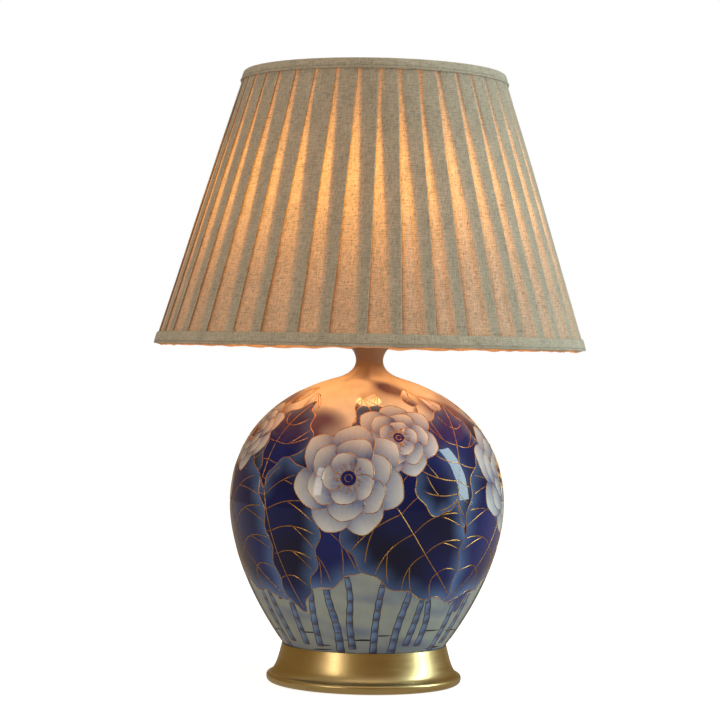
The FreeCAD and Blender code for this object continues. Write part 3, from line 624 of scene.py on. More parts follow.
def pleat_path(number, height):
    """One pleat's middle line: (distance from its visible edge, lift, light let through, painted shade)."""
    radius = fabric_radius(height) - pleat_stack
    pitch = radians(fold_angle(number, height) - fold_angle(number - 1, height)) * radius
    depth = min(fold_depth(number, height), pitch - least_single_layer)
    previous = fold_depth(number - 1, height)
    floor = cloth_thickness / 2
    step = cloth_thickness + cloth_layer_gap
    middle, upper = floor + step, floor + 2 * step
    bend = step / 2
    share = (height - shade_bottom) / shade_height
    slack = sin(pi * share) ** 0.7 * (0.55 + wander(number % pleat_count, height, 0.5))
    ramp = min(pleat_ramp, 0.5 * (pitch - depth))
    start, end = -pitch, -depth - ramp
    soft_edge = min(light_edge_width, 0.6 * (pitch - depth))
    hidden = min(depth - shadow_inset + shadow_spread * share, pitch - least_lit_width)

    def through(distance):
        """Share of the light that gets through, less where the hidden layers begin."""
        part = min(1.0, max(0.0, 0.5 - (hidden + distance) / soft_edge))
        return part * part * (3 - 2 * part)

    def loose(distance):
        """Lift of the free edge, which stands off a little between the trims."""
        return free_edge_lift * slack * max(0.0, 1 + distance / (0.8 * depth)) ** 2

    path = [(start - previous, floor, 0.0, 1.0), (start - previous * 0.5, floor, 0.0, 1.0)]
    # Painted shade: darkest where the cloth comes out beside the fold edge above it, fading out across the
    # first half of the single layer.
    for part, crease_shade in ((0.0, 0.28), (0.04, 0.36), (0.12, 0.62), (0.26, 0.92), (0.45, 1.0), (0.66, 1.0),
                         (0.86, 1.0)):
        distance = start + (end - start) * part
        path.append((distance, floor + valley_lift * slack * sin(pi * part), through(distance), crease_shade))
    for part in (0.0, 0.3, 0.6, 0.85, 1.0):
        soft = part * part * (3 - 2 * part)
        distance = end + ramp * part
        path.append((distance, floor + (upper - floor) * soft, through(distance), 1.0))
    for part in (0.35, 0.65, 0.88):
        distance = -depth * (1 - part)
        path.append((distance, upper + loose(distance), 0.0, 1.0))
    # The rounded fold edge is painted 4 percent lighter, a painted highlight.
    for angle in (90, 45, 0, -45, -90):
        turn = radians(angle)
        path.append((-bend + bend * cos(turn), middle + bend + bend * sin(turn) + loose(-bend), 0.0, 1.04))
    path.append((-depth * 0.4, middle + loose(-depth * 0.4), 0.0, 1.0))
    for angle in (90, 180, 270):
        turn = radians(angle)
        path.append((-depth + bend + bend * cos(turn), floor + bend + bend * sin(turn), 0.0, 1.0))
    return path


def offset_line(line, side):
    """A closed flat line moved sideways by half the cloth's thickness."""
    points = np.array(line)
    ahead = np.roll(points, -1, axis=0) - points
    ahead /= np.maximum(np.linalg.norm(ahead, axis=1, keepdims=True), 1e-9)
    back = np.roll(ahead, 1, axis=0)
    mean = ahead + back
    mean /= np.maximum(np.linalg.norm(mean, axis=1, keepdims=True), 1e-9)
    normal = np.stack([mean[:, 1], -mean[:, 0]], axis=1)
    return points + side * cloth_thickness / 2 * normal


def glow_at(height, turn, through):
    """How much lamp light comes through, by height, by direction and by the layers of cloth.

    The harp's two legs stand to the left and right of the bulb, so the sides get a little less.
    """
    near = 0.25 + 0.75 * np.exp(-((height - bulb_height - 12) / 68.0) ** 2)
    return near * (0.76 + 0.24 * sin(turn) ** 2) * (0.06 + 0.94 * through)


def cover_points(low, high):
    """The cloth's points row by row, outside before inside, with the light, painted crease shade and flat
    place of each.
    """
    points, glows, crease_shades, flat = [], [], [], []
    for row in range(rows):
        height = low + (high - low) * row / (rows - 1)
        radius = fabric_radius(height) - pleat_stack
        line, looks = [], []
        for number in range(pleat_count):
            edge = radians(fold_angle(number, height) - 90)
            for distance, lift, through, crease_shade in pleat_path(number, height):
                turn = edge + distance / radius
                line.append(((radius + lift) * cos(turn), (radius + lift) * sin(turn)))
                looks.append((glow_at(height, turn, through), crease_shade))
        lengths = path_lengths(line)
        for side in (1, -1):
            for i, (x, y) in enumerate(offset_line(line, side)):
                points.append((x, y, height))
                glow, crease_shade = looks[i] if side > 0 else (glow_at(height, 0.0, 1.0), 1.0)
                glows.append(glow)
                crease_shades.append(crease_shade)
                flat.append((lengths[i] * MM, height * MM))
    return points, glows, crease_shades, flat, lengths[-1] * MM


def cover_faces(count):
    """Faces of both sides and of the two cut edges, and the place of each corner in the baking map."""
    faces, bake = [], []
    cells_across, cells_up = 13, 3
    per = count // pleat_count

    def cell(i, step, level, inner):
        """Each pleat has its own cell of the baking map, outside above inside."""
        number, place = divmod(i, per)
        x = (number % cells_across + 0.03 + 0.94 * ((place + step) / per)) / cells_across
        y = (number // cells_across + (0.02 if inner else 0.5) + 0.46 * (level / (rows - 1))) / cells_up
        return x, y

    def add_face(corners, cells, turned):
        faces.append(corners[::-1] if turned else corners)
        bake.extend(cells[::-1] if turned else cells)

    for row in range(rows - 1):
        for inner in (0, 1):
            start = (2 * row + inner) * count
            above = start + 2 * count
            for i in range(count):
                after = (i + 1) % count
                corners = [start + i, start + after, above + after, above + i]
                span = ((0, row), (1, row), (1, row + 1), (0, row + 1))
                add_face(corners, [cell(i, step, level, inner) for step, level in span], inner)
    for row, turned in ((0, True), (rows - 1, False)):
        outer = 2 * row * count
        inner = outer + count
        for i in range(count):
            after = (i + 1) % count
            corners = [outer + i, outer + after, inner + after, inner + i]
            add_face(corners, [cell(i, step, row, 0) for step in (0, 1, 1, 0)], turned)
    return faces, bake


def pleated_cover():
    low, high = shade_bottom + cover_inset, shade_top - cover_inset
    points, glows, crease_shades, flat, cut_width = cover_points(low, high)
    faces, bake = cover_faces(len(pleat_path(0, low)) * pleat_count)
    made = soft_piece("linen_pleats", points, faces, "pleated_linen", "pleated_cover", glows, crease_shades, bake,
                      flat)


# ------------------------------------------------------------------ trims of the shade


trim_outside = 0.15 + trim_thickness
rim_seam = 1.5
turned_edge = -turn_in_inset - trim_thickness


def rim_seam_section(width):
    """Outer face of a trim that is stitched along its rim: (offset, distance from the rim, painted shade),
    with painted shadow in the seam's groove.
    """
    return [
        (trim_outside * 0.5, width + 0.1, 0.85), (trim_outside + 0.1, width - 0.25, 1.0),
        (trim_outside + 0.35, width - 0.9, 1.0), (trim_outside + 0.4, width * 0.6, 1.0),
        (trim_outside + 0.3, 3.4, 1.0), (trim_outside + 0.15, 2.7, 0.95), (trim_outside - 0.15, 2.25, 0.62),
        (trim_outside + 0.1, 1.8, 0.9), (trim_outside, 0.8, 1.0)]


def border_seam_section(width):
    """Outer face of a trim that is stitched along the fold of its inner border: (offset, distance from the
    rim, painted shade), with painted shadow in the seam's groove.
    """
    fold = width - trim_fold_width
    return [
        (trim_outside * 0.6, width + 0.15, 0.85), (trim_outside + 0.4, width - 0.2, 1.0),
        (trim_outside + 0.5, width - 0.7, 1.0), (trim_outside + 0.45, fold + 0.7, 1.0),
        (trim_outside + 0.2, fold + 0.2, 0.85), (trim_outside - 0.15, fold - 0.05, 0.62),
        (trim_outside + 0.15, fold - 0.5, 0.95), (trim_outside + 0.35, fold * 0.6, 1.0),
        (trim_outside + 0.2, 1.6, 1.0), (trim_outside, 0.7, 1.0)]


def turned_in_section(hang, shadow):
    """The part of a trim that is turned in over the rim, with its painted shade as a third value and its glow
    as a fourth.
    """
    return [
        (-1.6, 0.0, 0.4 + 0.6 * shadow, 0.05), (-turn_in_inset * 0.6, 0.0, shadow, 0.3),
        (-turn_in_inset, 0.1 - hang, shadow, 0.9), (-turn_in_inset - 0.65, 0.6 - hang, shadow, 0.9),
        (turned_edge, 1.4, 1.0, 0.6), (turned_edge, trim_turn_in - 0.3, 1.0, 0.5),
        (-turn_in_inset - 0.5, trim_turn_in, 1.0, 0.5), (-turn_in_inset, trim_turn_in, 1.0, 0.4),
        (-turn_in_inset, 1.5, 1.0, 0.3), (-turn_in_inset * 0.5, trim_thickness, 1.0, 0.3),
        (0.05, trim_thickness + 0.2, 1.0, 0.1)]


def trim(name, node, edge_height, inward, width, wave, hang, seam_at_rim):
    """A band of linen folded over one rim, with one stitched seam along its rim or its inner border."""
    outer = rim_seam_section(width) if seam_at_rim else border_seam_section(width)
    # The trim's inner edge, where it meets the pleats, is painted darker as shade.
    section = [(*corner, 0.0) for corner in [(0.1, width, 0.75), *outer, (trim_outside - 0.7, 0.12, 1.0)]]
    section += turned_in_section(hang, 0.35 if seam_at_rim else 1.0)
    lengths = path_lengths(section + section[:1])
    around, bands, size = 288, 6, len(section)
    points, faces, bake, cloth = [], [], [], []
    for i in range(around):
        turn = tau * i / around
        way = Vector((cos(turn) * 9, sin(turn) * 9, inward * 2.0))
        puff = trim_puff * noise.noise(way)
        sway = wave * noise.noise(way * 2.2 + Vector((5, 1, 0)))
        for offset, distance, *_ in section:
            loose = 1.0 if offset > 0.2 else 0.0
            inside = 1.0 if -turn_in_inset * 1.3 < offset < -3 and distance < 1.6 else 0.0
            height = edge_height + inward * (distance - sway * inside)
            radius = fabric_radius(height) + offset + puff * loose
            points.append((radius * cos(turn), radius * sin(turn), height))
    around_length = tau * fabric_radius(edge_height)
    for i in range(around):
        here, after, band = i * size, (i + 1) % around * size, i * bands // around
        for j in range(size):
            above = (j + 1) % size
            corners = [here + j, after + j, after + above, here + above]
            spots = [(i, j), (i + 1, j), (i + 1, j + 1), (i, j + 1)]
            if inward > 0:
                corners.reverse()
                spots.reverse()
            faces.append(corners)
            for across, down in spots:
                cloth.append((around_length * across / around * MM, lengths[down] * MM))
                bake.append(((across * bands / around - band), (band + 0.04 + 0.92 * down / size) / bands))
    glows = [corner[3] for corner in section] * around
    crease_shades = [corner[2] for corner in section] * around
    made = soft_piece(name, points, faces, "trim_linen", node, glows, crease_shades, bake, cloth)
    seam = rim_seam if seam_at_rim else width - trim_fold_width + 1.1
    stitches = stitching(name + "_stitching", edge_height + inward * seam,
                         trim_outside + (0.05 if seam_at_rim else 0.5))


def stitching(name, height, offset):
    """A row of short raised stitches."""
    radius = fabric_radius(height) + offset
    count = round(tau * radius / stitch_pitch)
    points, faces = [], []
    sides, steps = 5, 4
    for number in range(count):
        middle = tau * number / count
        first = len(points)
        for step in range(steps + 1):
            share = step / steps
            turn = middle + (share - 0.5) * stitch_length / radius
            arch = sin(pi * share)
            for side in range(sides):
                angle = tau * side / sides
                reach = stitch_thickness / 2 * (0.45 + 0.55 * arch)
                out = radius - 0.12 + 0.22 * arch + reach * cos(angle)
                points.append((out * cos(turn), out * sin(turn), height + reach * sin(angle)))
        for step in range(steps):
            for side in range(sides):
                a = first + step * sides + side
                b = first + step * sides + (side + 1) % sides
                faces.append((a, a + sides, b + sides, b))
        faces.append(tuple(first + side for side in range(sides)))
        faces.append(tuple(first + steps * sides + side for side in reversed(range(sides))))
    made = add_piece(name, points, faces, "sewing_thread", "shade")
    return made


# ------------------------------------------------------------------ felt under the foot


def felt_pad():
    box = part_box("felt_pad")
    radius = (box[1][0] - box[0][0]) / 2 / MM
    top = box[1][2] / MM
    around, rings = 96, 10
    points, faces = [], []
    for level in (top, 0.0):
        points.append((0, 0, level))
        for ring in range(1, rings + 1):
            for i in range(around):
                turn = tau * i / around
                edge = felt_edge_round if ring == rings else 0.0
                drop = felt_unevenness * noise.noise(Vector((ring * 1.7, cos(turn) * 3, sin(turn) * 3)))
                reach = radius * ring / rings - edge
                lift = drop if level else 0.0
                points.append((reach * cos(turn), reach * sin(turn), level - abs(lift)))
    middle = len(points)
    for i in range(around):
        turn = tau * i / around
        points.append((radius * cos(turn), radius * sin(turn), top / 2))
    per = 1 + rings * around
    for side in (0, 1):
        base = side * per
        for i in range(around):
            after = (i + 1) % around
            sector = [[base, base + 1 + i, base + 1 + after]]
            for ring in range(rings - 1):
                a = base + 1 + ring * around
                sector.append([a + i, a + around + i, a + around + after, a + after])
            faces.extend(face[::-1] if side else face for face in sector)
    upper, lower = 1 + (rings - 1) * around, per + 1 + (rings - 1) * around
    for i in range(around):
        after = (i + 1) % around
        faces.append([upper + i, middle + i, middle + after, upper + after])
        faces.append([middle + i, lower + i, lower + after, middle + after])
    made = add_piece("felt_base", points, faces, "felt", "base")
    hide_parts("felt_pad")


# ------------------------------------------------------------------ jar

foot_slope = radians(jar_foot_angle)
shoulder_slope = radians(jar_shoulder_angle)
lower_curve = [
    (jar_foot_radius, jar_bottom_height),
    (jar_foot_radius + jar_foot_pull * cos(foot_slope), jar_bottom_height + jar_foot_pull * sin(foot_slope)),
    (jar_belly_radius, jar_belly_height - jar_belly_pull_down),
    (jar_belly_radius, jar_belly_height),
]
upper_curve = [
    (jar_belly_radius, jar_belly_height),
    (jar_belly_radius, jar_belly_height + jar_belly_pull_up),
    (jar_shoulder_radius + jar_shoulder_pull * cos(shoulder_slope),
     jar_shoulder_height - jar_shoulder_pull * sin(shoulder_slope)),
    (jar_shoulder_radius, jar_shoulder_height),
]
painted = [bezier(lower_curve, i / 60) for i in range(60)] + [bezier(upper_curve, i / 60) for i in range(61)]
painted_radius = np.array([point[0] for point in painted])
painted_height = np.array([point[1] for point in painted])
painted_run = np.concatenate([[0.0], np.cumsum(np.hypot(np.diff(painted_radius), np.diff(painted_height)))])
run_end = float(painted_run[-1])
columns = 180
chart_scale = 2.1
chart_edge = 180 * chart_scale
grid_step = 3.0
line_step = 1.6


def radius_at_run(run):
    return np.interp(run, painted_run, painted_radius)


def height_at_run(run):
    return np.interp(run, painted_run, painted_height)


def run_at_height(height):
    return float(np.interp(height, painted_height, painted_run))


def on_jar(chart, lift=0.0):
    """Chart points (degrees from the front times chart_scale, run up the jar) as points in space."""
    chart = np.asarray(chart, float)
    turn = np.radians(chart[:, 0] / chart_scale - 90)
    run = chart[:, 1]
    radius, height = radius_at_run(run), height_at_run(run)
    ahead = np.stack([radius_at_run(run + 0.5) - radius_at_run(run - 0.5),
                      height_at_run(run + 0.5) - height_at_run(run - 0.5)], axis=1)
    ahead /= np.linalg.norm(ahead, axis=1, keepdims=True)
    radius = radius + lift * ahead[:, 1]
    height = height - lift * ahead[:, 0]
    return np.stack([radius * np.cos(turn), radius * np.sin(turn), height], axis=1)


def blend_colour(first, second, share):
    """Colours between two, by an array of shares; each colour is one or one per share."""
    share = np.clip(np.asarray(share, float), 0.0, 1.0)[..., None]
    return np.asarray(first) * (1 - share) + np.asarray(second) * share


navy = srgb(11, 14, 52)
cobalt = srgb(20, 34, 112)
slate = srgb(92, 124, 176)
petal_white = srgb(232, 233, 230)
petal_blue = srgb(84, 104, 162)
reed_blue = srgb(124, 150, 188)
reed_shade = srgb(62, 82, 132)
celadon = srgb(160, 168, 164)
wash_blue = srgb(108, 124, 156)
cream = srgb(236, 228, 216)
dusk = srgb(92, 68, 98)
ink = srgb(38, 34, 50)
# The neck's taupe glaze, painted darker as shade from the vase cap and bulb holder.
taupe_and_shade = srgb(146, 122, 104)
bare_clay = srgb(206, 198, 184)
neck_levels = 40


class Motif:
    """One painted shape: its outline in the chart, how it is coloured, and its lines."""

    def __init__(self, outline, colour, lines, line_finish="fired_gold", width=1.0):
        self.outline = outline
        self.colour = colour
        self.lines = lines
        self.line_finish = line_finish
        self.width = width


class Spot:
    """A place on the jar where a flat drawing is laid, turned clockwise by degrees."""

    def __init__(self, angle, height, turn=0.0, size=1.0):
        self.angle, self.run, self.size = angle, run_at_height(height), size
        self.cos, self.sin = cos(radians(turn)), sin(radians(turn))

    def lay(self, points):
        """Flat millimetres (across, up) as points of the chart."""
        points = np.asarray(points, float) * self.size
        x = points[:, 0] * self.cos + points[:, 1] * self.sin
        y = points[:, 1] * self.cos - points[:, 0] * self.sin
        at = np.clip(self.run + y, 1.0, run_end - 1.0)
        around = np.degrees(x / radius_at_run(at))
        return np.stack([chart_scale * (self.angle + around), at], axis=1)

    def flat(self, x, y):
        """Points of the chart as flat millimetres (across, up)."""
        across = np.radians(x / chart_scale - self.angle) * radius_at_run(y)
        up = y - self.run
        return ((across * self.cos - up * self.sin) / self.size,
                (across * self.sin + up * self.cos) / self.size)


def smooth_line(points, closed=False, step=1.6):
    """A rounded line through the given points, with even steps."""
    pts = [np.array(p, float) for p in points]
    if closed:
        ring = [pts[-1]] + pts + pts[:2]
    else:
        ring = [2 * pts[0] - pts[1]] + pts + [2 * pts[-1] - pts[-2]]
    made = []
    for i in range(1, len(ring) - 2):
        a, b, c, d = ring[i - 1:i + 3]
        count = max(2, int(np.linalg.norm(c - b) / step))
        for k in range(count):
            t = k / count
            made.append(tuple(0.5 * (2 * b + (c - a) * t + (2 * a - 5 * b + 4 * c - d) * t * t
                                     + (3 * b - a - 3 * c + d) * t ** 3)))
    if not closed:
        made.append(tuple(pts[-1]))
    return made


def bow(start, middle, end, count=14):
    """A simple bent line that is pulled towards its middle point."""
    t = np.linspace(0, 1, count)[:, None]
    start, middle, end = (np.array(p, float) for p in (start, middle, end))
    return start * (1 - t) ** 2 + middle * 2 * t * (1 - t) + end * t * t


def closed_line(outline):
    return np.concatenate([outline, outline[:1]])


def waved(points, height, length, phase):
    """A closed outline pushed in and out in soft waves, calm at its two ends."""
    points = np.asarray(points, float)
    ahead = np.roll(points, -1, axis=0) - np.roll(points, 1, axis=0)
    ahead /= np.linalg.norm(ahead, axis=1, keepdims=True)
    steps = np.linalg.norm(np.roll(points, -1, axis=0) - points, axis=1)
    run = np.concatenate([[0.0], np.cumsum(steps)[:-1]])
    total = run[-1] + steps[-1]
    waves = round(total / length)
    calm = np.minimum(1.0, np.abs(points[:, 0]) / 12.0)
    push = height * calm * np.sin(tau * waves * run / total + phase)
    return points + push[:, None] * np.stack([ahead[:, 1], -ahead[:, 0]], axis=1)


def gap_to(x, y, outline):
    """Distance of each point from an outline."""
    start, end = np.asarray(outline), np.roll(outline, -1, axis=0)
    along = end - start
    size = np.maximum((along ** 2).sum(axis=1), 1e-12)
    dx, dy = x[:, None] - start[:, 0], y[:, None] - start[:, 1]
    t = np.clip((dx * along[:, 0] + dy * along[:, 1]) / size, 0, 1)
    return np.sqrt(np.min((dx - t * along[:, 0]) ** 2 + (dy - t * along[:, 1]) ** 2, axis=1))


def drift(x, run, phase, rise=0.03):
    """A soft uneven field that closes round the jar, about -1 to 1."""
    turn = np.radians(x / chart_scale)
    return (0.5 * np.sin(3 * turn + rise * run + phase)
            + 0.3 * np.sin(5 * turn - 1.6 * rise * run + 2.1 * phase)
            + 0.2 * np.sin(9 * turn + 2.7 * rise * run + 0.7 * phase))


leaf_side = [(0, 34), (6, 46), (20, 53), (35, 48), (46, 33), (50, 12), (46, -10), (36, -32), (21, -52),
             (7, -66), (0, -76)]
leaf_veins = [((0, 32), (7, 44), (19, 49)), ((0, 27), (20, 38), (40, 37)),
              ((0, 15), (26, 22), (48, 12)), ((0, -3), (23, 3), (43, -15)),
              ((0, -22), (17, -18), (32, -36)), ((0, -42), (9, -40), (16, -56))]


def leaf(rng, spot, rim=1.0):
    """A broad heart-shaped leaf with a waved margin, a midrib and forked side veins."""
    left = [(-x * 0.97, y) for x, y in reversed(leaf_side[1:-1])]
    flat = waved(smooth_line(leaf_side + left, closed=True, step=2.2), 1.9, 27.0, rng.uniform(0, tau))
    outline = spot.lay(flat)
    bend = rng.uniform(-5, 5)
    lines = [closed_line(outline), spot.lay(smooth_line([(0, 34), (bend * 0.6, 5), (bend, -28), (0, -72)]))]
    for order, (start, middle, end) in enumerate(leaf_veins):
        for side in (1, -1):
            shift = bend * (32 - start[1]) / 60 * (1 if start[1] > -30 else 0.6)
            jitter = rng.uniform(-2.5, 2.5)
            tip = np.array((side * end[0], end[1] + jitter))
            vein = bow((shift, start[1]), (side * middle[0] + shift, middle[1]), tip * 0.97)
            lines.append(spot.lay(vein))
            if 0 < order < 5:
                fork = vein[6 + order % 2]
                out = np.array((side * end[0] * 0.99, end[1] - 15 + jitter)) * (0.96 - 0.03 * order)
                knee = fork * 0.45 + out * 0.55 + np.array((0, 4.5))
                lines.append(spot.lay(bow(fork, knee, out, 10)))

    def colour(x, y):
        across, up = spot.flat(x, y)
        edge = np.maximum(0.0, 1 - gap_to(across, up, flat) / 15.0) ** 1.5
        base = blend_colour(navy, cobalt, 0.55 + 0.6 * drift(x, y, spot.angle) - 0.35 * np.abs(across) / 50)
        return blend_colour(base, slate, rim * edge * (0.75 + 0.35 * drift(x, y, 2.0 + spot.angle)))

    return Motif(outline, colour, lines, width=0.95)


def petal(rng, spot, reach, half, deep):
    """One petal that points away from the flower's middle, blue at its root and white at its rim."""
    tip = rng.uniform(-2.5, 2.5)
    side = rng.uniform(0.92, 1.08)
    flat = smooth_line([(0, 2), (half * 0.5, reach * 0.2), (half * side, reach * 0.56),
                        (half * 0.78, reach * 0.85), (tip + half * 0.24, reach),
                        (tip - half * 0.2, reach * 0.985), (-half * 0.8, reach * 0.83),
                        (-half / side, reach * 0.54), (-half * 0.5, reach * 0.2)], closed=True, step=1.8)
    outline = spot.lay(flat)

    def colour(x, y):
        across, up = spot.flat(x, y)
        out = up / reach
        ribs = 0.12 * np.sin(across * 1.5) * (1 - out)
        fold = np.maximum(0.0, np.abs(across + 0.3 * half) / half - 0.55)
        root = np.clip((1.1 - out) / 0.55, 0.0, 1.0) ** 1.3
        return blend_colour(petal_white, petal_blue, deep * root + 0.5 * fold ** 1.5 + ribs)

    return Motif(outline, colour, [closed_line(outline)], width=0.85)


def circle(radius, count, x=0.0, y=0.0):
    return [(x + radius * cos(a), y + radius * sin(a)) for a in np.linspace(0, tau, count, endpoint=False)]


def blossom(rng, angle, height, size, turn):
    """An open flower of three rings of petals round a disc of stamens."""
    made = []
    rings = ((7, 47, 18, 0.95, 0), (6, 35, 15, 0.85, 20), (5, 22, 11, 0.7, 5))
    for petals, reach, half, deep, start in rings:
        for i in range(petals):
            spin = turn + start + 360 * i / petals + rng.uniform(-6, 6)
            made.append(petal(rng, Spot(angle, height, spin, size), reach, half, deep))
    spot = Spot(angle, height, turn, size)
    outline = spot.lay(circle(6.5, 20))
    lines = [closed_line(outline), closed_line(spot.lay(circle(3.0, 12)))]
    for i in range(16):
        a = tau * i / 16 + rng.uniform(-0.12, 0.12)
        far = rng.uniform(9.0, 12.5)
        lines.append(spot.lay([(r * cos(a), r * sin(a)) for r in (6.0, (6 + far) / 2, far)]))
        lines.append(closed_line(spot.lay(circle(0.9, 6, far * cos(a), far * sin(a)))))
    made.append(Motif(outline, lambda x, y: np.tile(cobalt, (len(x), 1)), lines, width=0.8))
    return made


def band(middle, half):
    """The two sides of a stem of given half widths along a middle line."""
    middle = np.asarray(middle, float)
    ahead = np.gradient(middle, axis=0)
    ahead /= np.linalg.norm(ahead, axis=1, keepdims=True)
    side = np.stack([ahead[:, 1], -ahead[:, 0]], axis=1) * np.asarray(half)[:, None]
    return middle - side, middle + side


def reed(rng, angle, low, high, lean, width, line_finish="umber_line", light=reed_blue, dark=reed_shade):
    """A jointed stem that leans and bends, with a ring at each joint."""
    spot = Spot(angle, low)
    span = run_at_height(high) - run_at_height(low)
    middle = smooth_line([(0, 0), (lean * 0.1 + rng.uniform(-2, 2), span * 0.35),
                          (lean * 0.55 + rng.uniform(-2, 2), span * 0.7), (lean, span)], step=3.0)
    share = np.linspace(0, 1, len(middle))
    left, right = band(middle, width * (1.0 - 0.25 * share + 0.07 * np.sin(share * span / 2.1)))
    outline = spot.lay(np.concatenate([left, right[::-1]]))
    lines = [closed_line(outline)]
    joint = rng.uniform(2, 5)
    while joint < span - 4:
        at = int(joint / span * (len(middle) - 1))
        for ends, crown in ((0.0, 1.6), (1.8, 3.0)):
            lines.append(spot.lay(bow(left[at] + (0, ends), (left[at] + right[at]) / 2 + (0, crown),
                                      right[at] + (0, ends), 6)))
        joint += rng.uniform(10, 14)

    def colour(x, y):
        across, up = spot.flat(x, y)
        centre = np.interp(up, [m[1] for m in middle], [m[0] for m in middle])
        return blend_colour(light, dark, 0.45 + 0.4 * (across - centre) / width + 0.25 * np.sin(up * 0.5))

    return Motif(outline, colour, lines, line_finish, 0.95)


def bud(angle, height, turn, size):
    """A closed bud of three petals on the pale shoulder."""
    spot = Spot(angle, height, turn, size)
    flat = smooth_line([(0, -4), (8, 2), (10, 13), (6, 26), (0, 35), (-6, 26), (-10, 13), (-8, 2)],
                       closed=True, step=1.6)
    outline = spot.lay(flat)
    lines = [closed_line(outline), spot.lay(bow((-7, 2), (3, 14), (0, 34))),
             spot.lay(bow((7, 2), (1, 10), (-1, 19), 8)), spot.lay(bow((9, 8), (6, 20), (1, 33), 10))]

    def colour(x, y):
        across, up = spot.flat(x, y)
        return blend_colour(dusk, petal_white, up / 22 + across / 30)

    return Motif(outline, colour, lines, width=0.9)


def stroke(rng, angle, height, length):
    """A loose brush stroke on the ground between the stems."""
    half = length / 2
    flat = [(-half, 0), (-half * 0.4, 0.9), (half * 0.5, 0.7), (half, 0.1), (half * 0.4, -0.6),
            (-half * 0.5, -0.5)]
    outline = Spot(angle, height, rng.uniform(-5, 5)).lay(smooth_line(flat, closed=True, step=2.0))
    return Motif(outline, lambda x, y: np.tile(ink, (len(x), 1)), [])


repeats = 4
reed_angles = (-40, -28, -17, -6, 4, 17, 29, 37)
# Angle, height, lean and size of each bud and leaf; a leaf has the play of its lean before its size, and
# then how pale its rim is
bud_places = ((-5, 254, 12, 0.9), (30, 262, 8, 0.78), (-38, 252, -20, 0.9))
leaf_places = ((-47, 208, 192, 8, 0.95, 0.8), (14, 214, 160, 8, 0.98, 0.8), (47, 150, -8, 6, 1.1, 0.9),
               (-20, 158, 34, 6, 1.22, 1.0), (19, 152, -38, 6, 1.2, 1.1))


def painting():
    """The jar's whole picture, from the back layer to the front one."""
    rng = random.Random(11)
    back, middle, front = [], [], []
    for i in range(repeats):
        at = 360 / repeats * i
        turn = 37 * i

        def near(size):
            return rng.uniform(-size, size)

        for _ in range(7):
            back.append(stroke(rng, at + near(43), rng.uniform(38, 58), rng.uniform(14, 30)))
        for offset in reed_angles:
            back.append(reed(rng, at + offset + near(2), rng.uniform(34, 44), rng.uniform(112, 128), near(13),
                             rng.uniform(2.9, 3.6)))
        back.append(reed(rng, at + 29, 226, 262, near(5), 2.6, "fired_gold", cream, dusk))
        back.append(reed(rng, at - 39, 222, 254, near(5), 2.4, "fired_gold", cream, dusk))
        back.append(reed(rng, at - 9, 228, 252, 6, 2.4, "fired_gold", cream, dusk))
        for angle, height, lean, size in bud_places:
            back.append(bud(at + angle + near(2), height, lean + near(8), size))
        for angle, height, lean, play, size, rim in leaf_places:
            middle.append(leaf(rng, Spot(at + angle, height, lean + near(play), size), rim))
        front.extend(blossom(rng, at + 16 + near(2), 233, 0.82, turn))
        front.extend(blossom(rng, at - 9 + near(2), 197, 1.1, 50 + turn))
    return back + middle + front


def ground_colour(x, run):
    """The jar's bare ground: pale foot, deep band behind the leaves, and a pale shoulder with dusk clouds."""
    height = height_at_run(run)
    soft = drift(x, run, 1.3)
    washes = np.maximum(0.0, drift(x, run, 4.2, 0.13)) + 0.5 * np.maximum(0.0, (52 - height) / 16)
    low = blend_colour(celadon, wash_blue, 0.75 * washes)
    deep = blend_colour(navy, cobalt, 0.25 + 0.5 * drift(x, run, 0.4, 0.06))
    cloud = blend_colour(cream, dusk, 1.4 * drift(x, run, 5.0, 0.05) + 0.42 - (height - 250) / 55)
    made = blend_colour(low, deep, (height - 112 + 8 * soft) / 20)
    return blend_colour(made, cloud, (height - 224 + 14 * soft) / 16)


def near_copies(motifs):
    """The motifs, with copies a full turn away of those that cross the back of the jar."""
    made = []
    for motif in motifs:
        low, high = motif.outline[:, 0].min(), motif.outline[:, 0].max()
        shift = -2 * chart_edge * round((low + high) / (4 * chart_edge))
        for turn in (-1, 0, 1):
            move = shift + turn * 2 * chart_edge
            if high + move > -chart_edge - 1 and low + move < chart_edge + 1:
                step = np.array((move, 0.0))
                made.append(Motif(motif.outline + step,
                                  lambda x, y, move=move, colour=motif.colour: colour(x - move, y),
                                  [line + step for line in motif.lines], motif.line_finish, motif.width))
    return made


def inside(points, polygon):
    """Which points lie inside a closed polygon."""
    points, polygon = np.asarray(points, float), np.asarray(polygon, float)
    low, high = polygon.min(axis=0), polygon.max(axis=0)
    within = np.all((points >= low) & (points <= high), axis=1)
    found = np.zeros(len(points), bool)
    if within.any():
        x, y = points[within, 0][:, None], points[within, 1][:, None]
        x0, y0 = polygon[:, 0], polygon[:, 1]
        x1, y1 = np.roll(x0, -1), np.roll(y0, -1)
        crosses = (y0 > y) != (y1 > y)
        with np.errstate(divide="ignore", invalid="ignore"):
            where = x0 + (y - y0) * (x1 - x0) / (y1 - y0)
        found[within] = (np.sum(crosses & (x < where), axis=1) % 2).astype(bool)
    return found


